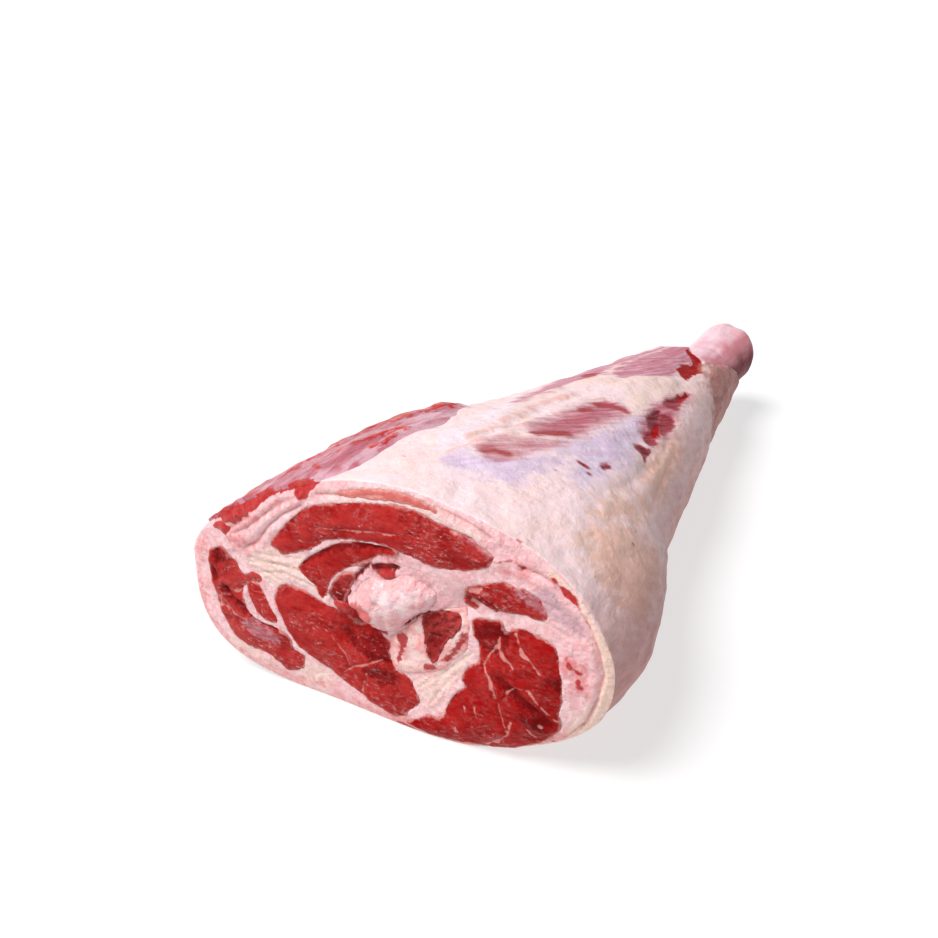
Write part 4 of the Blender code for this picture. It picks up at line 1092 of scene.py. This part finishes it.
# What shows on each muscle: veins as (width, line), clefts as (width, depth, line) with painted shade
# along each, and the outlines of stained and filmed areas; some stains are painted shade in hollows.
MARKS = {
    "topside_muscle": {
        "veins": ((0.7, ((-27.6, 81.8), (-18.4, 83.1), (-7.2, 85.9), (3.9, 88.6), (17.1, 90.6))),
                  (0.6, ((-38.3, 73.7), (-32.6, 73.3), (-21.4, 77.7))),
                  (1.2, ((28.2, 97.2), (33.2, 95.3), (39.3, 94.7), (43.6, 92.5)))),
        "films": (((26.7, 99.2), (32.9, 98.2), (37.7, 97.3), (42.8, 94.7), (45.6, 89.8), (43.8, 90.1),
                   (39.4, 93.5), (32.0, 95.6)),)},
    "adductor_muscle": {
        "veins": ((1.3, ((-0.8, 76.7), (-13.4, 68.8), (-19.4, 62.9), (-23.4, 56.8))),),
        # painted shade in the crease under the topside's edge
        "clefts": ((3.2, 0.9, ((-36, 64), (-31.3, 68.3), (-21.4, 74.4), (-7.4, 79.9), (3.6, 81.8))),)},
    "inner_slip": {"stains_and_shade": (((-24, 56), (-20, 60), (-17, 56), (-19, 51), (-23, 52)),)},
    "silverside_muscle": {
        "veins": ((0.5, ((-18.8, 18.3), (-14.1, 23), (-8.3, 26.5), (-1.3, 29.5))),
                  (0.5, ((-11.3, 8.9), (-10.2, 15.3), (-7.7, 22.2))),
                  (0.4, ((-25.7, 37.3), (-21.9, 32.5), (-17.3, 27.9), (-15.6, 22.5)))),
        "clefts": ((3.0, 0.8, ((-17, 38), (-11.4, 33), (-4.1, 30), (3, 29.4))),
                   (2.0, 0.6, ((-8, 24), (-3, 19.4), (4, 20)))),
        # the first is blood, and painted shade in the hollow by the knob
        "stains_and_shade": (((-15.3, 46.4), (-12.4, 38), (-3.2, 39), (3.6, 35.7), (4.2, 30), (-4.1, 32),
                    (-11.4, 35)),
                   ((-8.3, 25), (-2.7, 27.5), (2.8, 26.2), (6.5, 23.4), (3.2, 21.6), (-2.9, 20.1)))},
    "flank_muscle": {
        "veins": ((1.2, ((-80, 34), (-79.4, 30.6), (-74.4, 30.7), (-69.6, 28.9), (-66.5, 27.8))),
                  (0.9, ((-79, 41), (-71, 40), (-66, 42)))),
        "clefts": ((2.6, 1.4, ((-76.2, 39.8), (-71.7, 35.5), (-66.2, 32), (-59.1, 29), (-51.5, 27.9))),
                   (3.6, 1.6, ((-79.5, 55.5), (-78.6, 51))), (3.4, 1.4, ((-81.6, 46), (-81.4, 42)))),
        # painted shade in the dark hole at the top of the flank
        "stains_and_shade": (((-82, 57), (-77, 58), (-75, 53), (-79, 48), (-79, 42), (-83, 40), (-84, 46),
                    (-81, 50)),),
        "films": (((-68.2, 26.5), (-62.5, 28.6), (-54.9, 26.8), (-49, 24.2), (-49.4, 21.5), (-55.5, 21),
                   (-62.9, 23)),)},
    "eye_muscle": {},
    "outer_muscle": {
        "veins": ((1.6, ((38, 69), (43, 67.6), (51, 67.6), (59, 68.6))),
                  (1.6, ((36.5, 73), (41.5, 75.5)))),
        "films": (((54, 79), (61, 79.5), (66, 76), (67.5, 71), (62, 74)),),
        "stains_and_shade": (((33, 70), (38, 72), (46, 71), (52, 69), (44, 68), (36, 67)),)},
    "thick_flank_muscle": {
        "veins": ((1.2, ((49.5, 57.5), (49.7, 52.5), (53.8, 48.5), (55.5, 46.7))),
                  (0.9, ((49.2, 54.3), (45.7, 49), (42.8, 42.7))),
                  (1.7, ((55.8, 60.7), (57.9, 56), (61.9, 51.9), (66, 47.8))),
                  (1.1, ((43.3, 42), (46.1, 37.3), (48.9, 29.5), (50.3, 24), (52.9, 15.8))),
                  (1.5, ((38.6, 1.6), (42.9, 4.2), (48.6, 9.1), (52.8, 14.1), (54.8, 21))),
                  (1.0, ((52.9, 34), (56.9, 38.5), (62.2, 39.1), (66.1, 34.7))),
                  (1.8, ((67.4, 33), (70.2, 29.2), (73.6, 27))), (0.8, ((65.7, 23.5), (67.2, 22.8))),
                  (1.4, ((31, 10.3), (32, 8.6))), (1.1, ((35, 21), (35.5, 18.7))),
                  (0.9, ((61, 20), (64, 16))), (0.9, ((39.5, 22.5), (40, 18)))),
        "clefts": ((5.0, 1.6, ((50.2, 38.5), (55.6, 35), (60.9, 31.6), (66.1, 28.5), (68, 25.5))),
                   (2.4, 0.7, ((52.4, 62), (52.6, 56), (51.6, 52.6))),
                   (2.2, 0.6, ((39, 52), (43.2, 50.6), (48.7, 51.2)))),
        "stains_and_shade": (((36.8, 58.6), (43, 61.4), (49.8, 63.4), (51.9, 59.4), (48.7, 55.2), (43.2, 53.6),
                    (39.1, 54.9)),
                   ((68.6, 45.9), (71.6, 49.8), (75, 47.7), (74.6, 40), (72.5, 43)),
                   ((58, 24), (66, 20), (72, 24), (68, 28), (60, 28)))},
    "pale_slip": {"veins": ((0.6, ((-10.6, 98.9), (-5.2, 100.9), (1.0, 102.2))),)},
}
for name, outline, reach, heights, material, slot in MUSCLES:
    muscle = cut_piece(name + "_meat", outline, reach, heights, (material,), **MARKS[name])
    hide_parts(name)
    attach(muscle, "root")

# ==== Thigh bone, marrow and joint knob =======================================================
# The sawn thigh bone shows a pinkish white wall round dark, spongy marrow. Beside it sits the knob
# of the joint, lumpy white gristle tinged with pink, standing out of the cut.
BONE_SLIVERS = (             # bloody slivers in the bone's wall
    ((25.2, 38.6), (28.9, 43.8), (32.6, 50.9), (34.6, 54.4), (35.2, 51.6), (32.3, 45.6), (28.2, 39.4)),
    ((17.0, 33.2), (19.5, 35.3), (22.4, 35.0), (21.2, 32.9), (17.9, 31.4)),
    ((5.2, 42.9), (9.0, 46.1), (10.9, 43.6), (8.9, 38.1), (7.0, 32.6), (5.1, 32.0), (7.0, 38.5)),
)
KNOB_DOME, KNOB_STEEPNESS = 6.2, 2.6
KNOB_LUMP_SIZE = 5.5
MARROW_SUNK, MARROW_ROUGH = 0.9, 1.3
BONE_UNDER_MARROW = 4.5      # how deep the wall's face drops under the marrow


def bone_material(name, white, pink, deep, size):
    """Raw bone and gristle: milky, a little glossy, pink where blood shows through."""
    material, tree, place = new_material(name)
    lumps = mottle(tree, place, size, (1, 1, 1), 4.0, 0.40, 0.60)
    crumbs = mottle(tree, place, size / 4, (1, 1, 1), 4.0, 0.38, 0.64)
    torn = mottle(tree, place, 2.0, (1, 1, 1), 4.0, 0.25, 0.75)
    stain_and_shade = region(tree, "stain_and_shade", torn, 1.4, 0.8)
    rim = add(tree, "ShaderNodeAttribute", out=2, attribute_name="edge")
    rim = add(tree, "ShaderNodeMapRange", {"Value": rim, "From Min": 0.0, "From Max": 2.2,
                                           "To Min": 1.0, "To Max": 0.0})
    colour = coats(tree, white, (
        (times(tree, lumps, 0.8), pink), (times(tree, crumbs, 0.3), "#fdeeec"),
        (times(tree, rim, 0.4), pink), (times(tree, stain_and_shade, 0.9), deep)))
    normal = bumps(tree, ((lumps, 0.8, 0.4), (crumbs, 0.4, 0.5)))
    softness = add(tree, "ShaderNodeMapRange", {"Value": stain_and_shade, "To Min": 0.25, "To Max": 0.04})
    wet = add(tree, "ShaderNodeMapRange", {"Value": stain_and_shade, "To Min": 0.3, "To Max": 0.06})
    finish(tree, {
        "Base Color": colour, "Roughness": 0.36, "IOR": 1.46, "Specular IOR Level": wet,
        "Subsurface Weight": softness, "Subsurface Radius": (1.0, 0.5, 0.4), "Subsurface Scale": 0.0012,
        "Coat Weight": wet, "Coat Roughness": 0.15, "Normal": normal})
    return material


def sunk_under(outline, by, base):
    """Heights of a face that drops under another piece."""
    ring = closed_curve(outline, 1.0)

    def heights(flat, depth_in):
        return base(flat, depth_in) - by * smooth(inside_distance(ring, flat), -0.2, 1.0)
    return heights


def knob_heights(flat, depth_in):
    """A lumpy dome with steep sides."""
    deepest = depth_in.max()
    at = on_plane(flat)
    proud = KNOB_DOME * (1 - (1 - depth_in / deepest)**KNOB_STEEPNESS)
    lumps = np.array([noise.voronoi(Vector(p) / KNOB_LUMP_SIZE)[0][0] for p in at])
    inside = smooth(depth_in, 0.0, 3.0)
    return proud + inside * (1.1 - 3.2 * lumps**2 + 0.6 * grain(at, 4, 2))


bone_wall = bone_material("sawn bone", "#f6cdc8", "#ee8886", "#ac1a1c", 7.0)
gristle = bone_material("joint gristle", "#f3cfd3", "#e29496", "#cf6464", 8.0)
red_marrow = lean_material("red marrow", "#7e1013", "#9c2224", "#b84643", 1.0, "#b85a55")
bone_heights = domed(2.0, 0.9, 0.3, 11.0)


def marrow_heights(flat, depth_in):
    """Rough sponge, a little below the bone's wall."""
    in_bone = inside_distance(closed_curve(THIGH_BONE, 1.0), flat, 60.0)
    at = on_plane(flat)
    proud = bone_heights(flat, in_bone) - MARROW_SUNK * smooth(depth_in, 0.0, 1.5)
    return proud + MARROW_ROUGH * grain(at, 2.6, 3, shift=5.0)


bone = cut_piece("thigh_bone_wall", THIGH_BONE, 150,
                 sunk_under(MARROW, BONE_UNDER_MARROW, bone_heights), (bone_wall,), stains_and_shade=BONE_SLIVERS)
marrow = cut_piece("marrow_sponge", MARROW, 40, marrow_heights, (red_marrow,))
knob = cut_piece("joint_knob_gristle", KNOB, 34, knob_heights, (gristle,), spacing=0.8,
                 stains_and_shade=(((-13, 47), (-6, 45), (-2, 50), (-6, 56), (-12, 55)),))
for piece, node, slot in ((bone, "thigh_bone", "bone"), (marrow, "marrow", "marrow"),
                          (knob, "joint_knob", "bone")):
    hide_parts(node)
    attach(piece, "root")

# ==== Lean sheet of the inner thigh ===========================================================
# A thin sheet of lean under a shiny purple-pink film lies over the inner thigh. Its front edge is
# torn and bright red. A fine slab that follows the skin and thins out towards the fat.
SHEET_THICKNESS = 5.0
SHEET_EDGE = 1.2
SHEET_PROUD = 0.8
SHEET_THINNING = 0.2         # share of the sheet over which it thins out to its sides
SHEET_COARSE, SHEET_FINE = 0.7, 0.35
RAW_FRONT, RAW_SWING = 0.6, 5.0          # how far back the torn front is raw
RAW_SIDE, MM_A_DEGREE = 3.0, 0.6         # and its lower side, in degrees
PALE_WIDTH, PALE_SWING = 4.5, 3.0        # pale film along its upper side
THIGH_RADIUS = 50
SHEET_ALONG = 118
SHEET_ACROSS = 80
SHEET_STREAKS = (            # half width in mm, line of (depth, angle)
    (2.2, ((32, 123), (41, 122), (49, 120), (53, 118), (58, 115))),
    (1.4, ((35, 115), (42, 114), (49, 114))),
    (3.4, ((52, 135), (60, 133), (72, 130), (88, 127), (102, 124))),
    (1.2, ((14, 136), (30, 134), (46, 131))),
    (1.6, ((71, 124), (85, 124), (90, 120), (101, 117))),
    (3.0, ((96, 121), (106, 121), (114, 123))),
    (1.4, ((12, 122), (21, 127))),
    (1.6, ((2, 138), (10, 142), (20, 143))),
)
STREAK_RISE = 0.45
SHEET_BENDS = 55             # degrees; edges that bend more are shaded sharp


def sheet_material():
    """Lean under its own film: purple-pink with raw red streaks, glossy."""
    material, tree, place = new_material("filmed lean")
    grain_way = add(tree, "ShaderNodeAttribute", out=1, attribute_name="skinwise")
    streaks = mottle(tree, grain_way, 3.4, (1, 5, 1), 4.0, 0.40, 0.60)
    fibres = mottle(tree, grain_way, 1.4, (1, 7, 1), 3.0, 0.40, 0.62)
    patches = mottle(tree, place, 8.0, (1, 1.6, 1), 4.0, 0.42, 0.60)
    torn = mottle(tree, place, 3.0, (1, 1.6, 1), 5.0, 0.25, 0.75)
    raw = region(tree, "raw", torn, 1.6, 1.8)
    pale = region(tree, "pale", streaks, 7.0, 3.0)
    colour = coats(tree, "#c86e7d", (
        (times(tree, streaks, 0.6), "#dd9fad"), (times(tree, patches, 0.6), "#b64653"),
        (times(tree, fibres, 0.3), "#c489a2"), (times(tree, pale, 0.55), "#ebc4d3"),
        (raw, coats(tree, "#bd2020", ((times(tree, streaks, 0.6), "#dc554e"),)))))
    normal = bumps(tree, ((streaks, 0.8, 0.5), (fibres, 0.4, 0.5), (patches, 1.2, 0.4)))
    finish(tree, {
        "Base Color": colour, "Roughness": 0.4, "IOR": 1.42, "Specular IOR Level": 0.45,
        "Subsurface Weight": 0.2, "Subsurface Radius": (1.0, 0.35, 0.3), "Subsurface Scale": 0.0025,
        "Coat Weight": 0.3, "Coat Roughness": 0.2, "Normal": normal})
    return material


def make_sheet():
    along = np.linspace(0, 1, SHEET_ALONG)
    across = np.linspace(0, 1, SHEET_ACROSS)
    rings = []
    maps = {"raw": [], "pale": [], "skinwise": []}
    for a in along:
        depth = SHEET_LENGTH * a
        here = np.full(SHEET_ACROSS, depth)
        upper = np.interp(depth, *zip(*SHEET_UPPER))
        lower = np.interp(depth, *zip(*SHEET_LOWER))
        degrees = upper + (lower - upper) * across
        angle = np.radians(degrees)
        to_side = np.minimum(across, 1.0 - across)
        fade = np.minimum(1.0, to_side / SHEET_THINNING) * min(1.0, (1.0 - a) / SHEET_THINNING)
        thick = SHEET_EDGE + (SHEET_THICKNESS - SHEET_EDGE) * fade
        at = skin_points(here, angle)
        lift = SHEET_PROUD + SHEET_COARSE * grain(at, 10, 3, (1, 1.8, 1), 6.1)
        lift += SHEET_FINE * grain(at, 2.6, 2, (1, 4, 1))
        lift -= 1.3 * (1 - smooth(to_side, 0.0, 0.10)) + 1.0 * (1 - smooth(1.0 - a, 0.0, 0.06))
        flat = unrolled(here, degrees)
        raw = np.maximum(RAW_FRONT + RAW_SWING * grain(at, 9, 2, shift=4.0) - depth,
                         MM_A_DEGREE * (RAW_SIDE - (lower - degrees)))
        for half_width, line in SHEET_STREAKS:
            gap = skin_line(line, flat)
            raw = np.maximum(raw, half_width - gap)
            lift += STREAK_RISE * half_width * np.exp(-(gap / (half_width + 0.8))**2)
        lift += 1.2 * math.exp(-(depth / 3.0)**2) * grain(at, 6, 2, shift=8.0)
        pale = PALE_WIDTH + PALE_SWING * grain(at, 16, 2, shift=3.0)
        pale -= np.radians(degrees - upper) * THIGH_RADIUS
        outer = skin_points(here, angle, lift)
        inner = skin_points(here, angle, -thick)
        outer[:, 1] += 0.8 * grain(at, 4, 2, shift=9.0) * math.exp(-depth / 4.0)
        rings.append(np.vstack([outer, inner[::-1]]))
        maps["raw"].append(np.concatenate([raw, raw[::-1]]))
        maps["pale"].append(np.concatenate([pale, np.full(SHEET_ACROSS, -REACH)]))
        lies = grain_lie(degrees, here)
        maps["skinwise"].append(np.vstack([lies, lies[::-1]]))
    count = 2 * SHEET_ACROSS
    faces = ring_sides(0, count, SHEET_ALONG)
    for j in range(SHEET_ACROSS - 1):
        for r, turn in ((0, 1), (SHEET_ALONG - 1, -1)):
            base = r * count
            quad = (base + j, base + j + 1, base + count - 2 - j, base + count - 1 - j)
            faces.append(quad[::turn])
    attributes = {key: np.concatenate(values) for key, values in maps.items()}
    piece = made_piece("inner_thigh_lean", np.vstack(rings), faces, attributes, (sheet_material(),))
    piece.data.set_sharp_from_angle(angle=math.radians(SHEET_BENDS))
    return piece


sheet = make_sheet()
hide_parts("inner_thigh_sheet")
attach(sheet, "root")

# ==== Shank bone ==============================================================================
# The hock end of the shank bone, bare where the foot came off: smooth gristle, glossy and pink, with
# a shallow groove between its two domes. Lathed rings, pressed in along the groove.
SHANK_BONE_SHAPE = (         # depth, radius
    (262, 5.0), (267, 8.2), (280, 9.0), (292, 13.0), (300, 15.2), (308, 16.0), (318, 16.2),
    (331, 16.7), (338, 17.0), (343, 16.0), (347, 12.6), (349.3, 7.5))
DOME_GROOVE = (78, 13)       # where the groove lies, in degrees, and its width
DOME_GROOVE_START = (322, 332)
DOME_GROOVE_DEPTH = 1.3
FLATTENING = 0.05            # how much narrower than high the knuckle becomes
BONE_CORNERS = 120
BONE_RINGS = 110


def knuckle_material():
    """Gristle of the knuckle: pale pink and glossy, redder on its right dome."""
    material, tree, place = new_material("knuckle gristle")
    broad = mottle(tree, place, 9.0, (1, 1.6, 1), 3.0, 0.38, 0.62)
    streaks = mottle(tree, place, 2.6, (1, 6, 1), 4.0, 0.40, 0.62)
    colour, pale = gristle_colour(tree, place)
    normal = bumps(tree, ((broad, 0.6, 0.2), (streaks, 0.2, 0.2)))
    finish(tree, {
        "Base Color": colour, "Roughness": 0.36, "IOR": 1.42, "Specular IOR Level": 0.02,
        "Subsurface Weight": 0.3, "Subsurface Radius": (1.0, 0.4, 0.35), "Subsurface Scale": 0.003,
        "Coat Weight": times(tree, pale, 0.4), "Coat Roughness": 0.2, "Normal": normal})
    return material


def bone_ring(r, angle, depth):
    """Points round the shank bone's axis at a depth."""
    mid, wide = section_at(depth)[:2]
    return np.stack([mid + r * np.cos(angle), np.full(len(r), CUT_Y + depth), wide + r * np.sin(angle)],
                    axis=1)


def make_shank_bone():
    shape_depths, shape_radii = np.array(SHANK_BONE_SHAPE).T
    start, stop = shape_depths[0], shape_depths[-1]
    u = np.linspace(0, 1, BONE_RINGS)
    depths = start + (stop - start) * np.sin(u * math.pi / 2)**0.9
    angle = np.linspace(0, 2 * math.pi, BONE_CORNERS, endpoint=False)
    rings = []
    flushed, deep = [], []
    for depth in depths:
        radius = np.interp(depth, shape_depths, shape_radii)
        press = FLATTENING * max(0.0, (depth - 300) / 50)
        r = radius * (1 - press * np.cos(2 * angle))
        degrees = np.degrees(angle)
        middle, width = DOME_GROOVE
        dent = np.exp(-((degrees - middle) / width)**2) * smooth(np.array(depth), *DOME_GROOVE_START)
        r = r - DOME_GROOVE_DEPTH * dent * min(1.0, radius / 12)
        r = r + 0.25 * grain(bone_ring(r, angle, depth), 8, 3)
        rings.append(bone_ring(r, angle, depth))
        flushed.append(turn_inside(degrees, FLUSHED) * radius)
        # deep: painted shade low on the right of the knuckle, over slightly darker gristle
        deep.append(turn_inside(degrees, DARK_GRISTLE_AND_SHADE) * radius)
    mid, wide = section_at(stop)[:2]
    points = np.vstack(rings + [[(mid, CUT_Y + start - 1, wide)], [(mid, CUT_Y + LEG_LENGTH, wide)]])
    faces = ring_sides(0, BONE_CORNERS, BONE_RINGS)
    last = (BONE_RINGS - 1) * BONE_CORNERS
    first_tip = BONE_RINGS * BONE_CORNERS
    for i in range(BONE_CORNERS):
        j = (i + 1) % BONE_CORNERS
        faces.append((j, i, first_tip))
        faces.append((last + i, last + j, first_tip + 1))
    attributes = {"flushed": np.concatenate(flushed + [[0.0, 0.0]]),
                  "deep": np.concatenate(deep + [[0.0, 0.0]])}
    return made_piece("shank_bone_knuckle", points, faces, attributes, (knuckle_material(),))


knuckle = make_shank_bone()
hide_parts("shank_bone")
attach(knuckle, "root")

# ==== Floor, light and camera =================================================================
# A pale matt floor, one large softbox high on the left, and a bright room all round as the fill.
FLOOR_SIZE = 8.0
FLOOR_GLOW = 0.66            # keeps the board white next to the softbox
ROOM_LIGHT = 0.20
KEY_LIGHT = 3.7
KEY_WIDTH = 32.0             # degrees across, for soft-edged shadows
KEY_FROM = (-0.30, -0.38, 0.875)
floor_mesh = bpy.data.meshes.new("floor")
half = FLOOR_SIZE / 2
floor_mesh.from_pydata([(-half, -half, 0), (half, -half, 0), (half, half, 0), (-half, half, 0)], [],
                       [(0, 1, 2, 3)])
floor = bpy.data.objects.new("floor", floor_mesh)
bpy.context.scene.collection.objects.link(floor)
floor_paint, floor_tree, _ = new_material("matt white board")
finish(floor_tree, {"Base Color": linear("#a0a0a0"), "Roughness": 0.9, "Specular IOR Level": 0.2,
                    "Emission Color": (1, 1, 1, 1), "Emission Strength": FLOOR_GLOW})
floor_mesh.materials.append(floor_paint)

world = bpy.data.worlds.new("studio")
bpy.context.scene.world = world
world.use_nodes = True
room = world.node_tree.nodes["Background"]
room.inputs["Color"].default_value = (1, 1, 1, 1)
room.inputs["Strength"].default_value = ROOM_LIGHT

key = bpy.data.lights.new("key softbox", "SUN")
key.energy = KEY_LIGHT
key.angle = math.radians(KEY_WIDTH)
key_holder = bpy.data.objects.new("key softbox", key)
key_holder.rotation_euler = Vector(KEY_FROM).to_track_quat("Z", "Y").to_euler()
bpy.context.scene.collection.objects.link(key_holder)

CAMERA_AZIMUTH = 28.0        # degrees to the right of the cut's axis
CAMERA_HEIGHT = 28.0         # degrees above the floor
CAMERA_DISTANCE = 600.0
CAMERA_TARGET = np.array((-18.3, -68.6, 60.6))
IMAGE_SIDE = 938
FOCAL_PIXELS = 1365
camera_data = bpy.data.cameras.new("camera")
camera_data.sensor_width = 36.0
camera_data.lens = FOCAL_PIXELS / IMAGE_SIDE * camera_data.sensor_width
camera_data.clip_start = 0.01
camera = bpy.data.objects.new("camera", camera_data)
around, above = math.radians(CAMERA_AZIMUTH), math.radians(CAMERA_HEIGHT)
from_target = np.array((
    math.sin(around) * math.cos(above), -math.cos(around) * math.cos(above), math.sin(above)))
camera.location = Vector((CAMERA_TARGET + from_target * CAMERA_DISTANCE) * MM)
camera.rotation_euler = Vector(-from_target).to_track_quat("-Z", "Y").to_euler()
bpy.context.scene.collection.objects.link(camera)
bpy.context.scene.camera = camera
bpy.context.scene.view_settings.view_transform = "Standard"
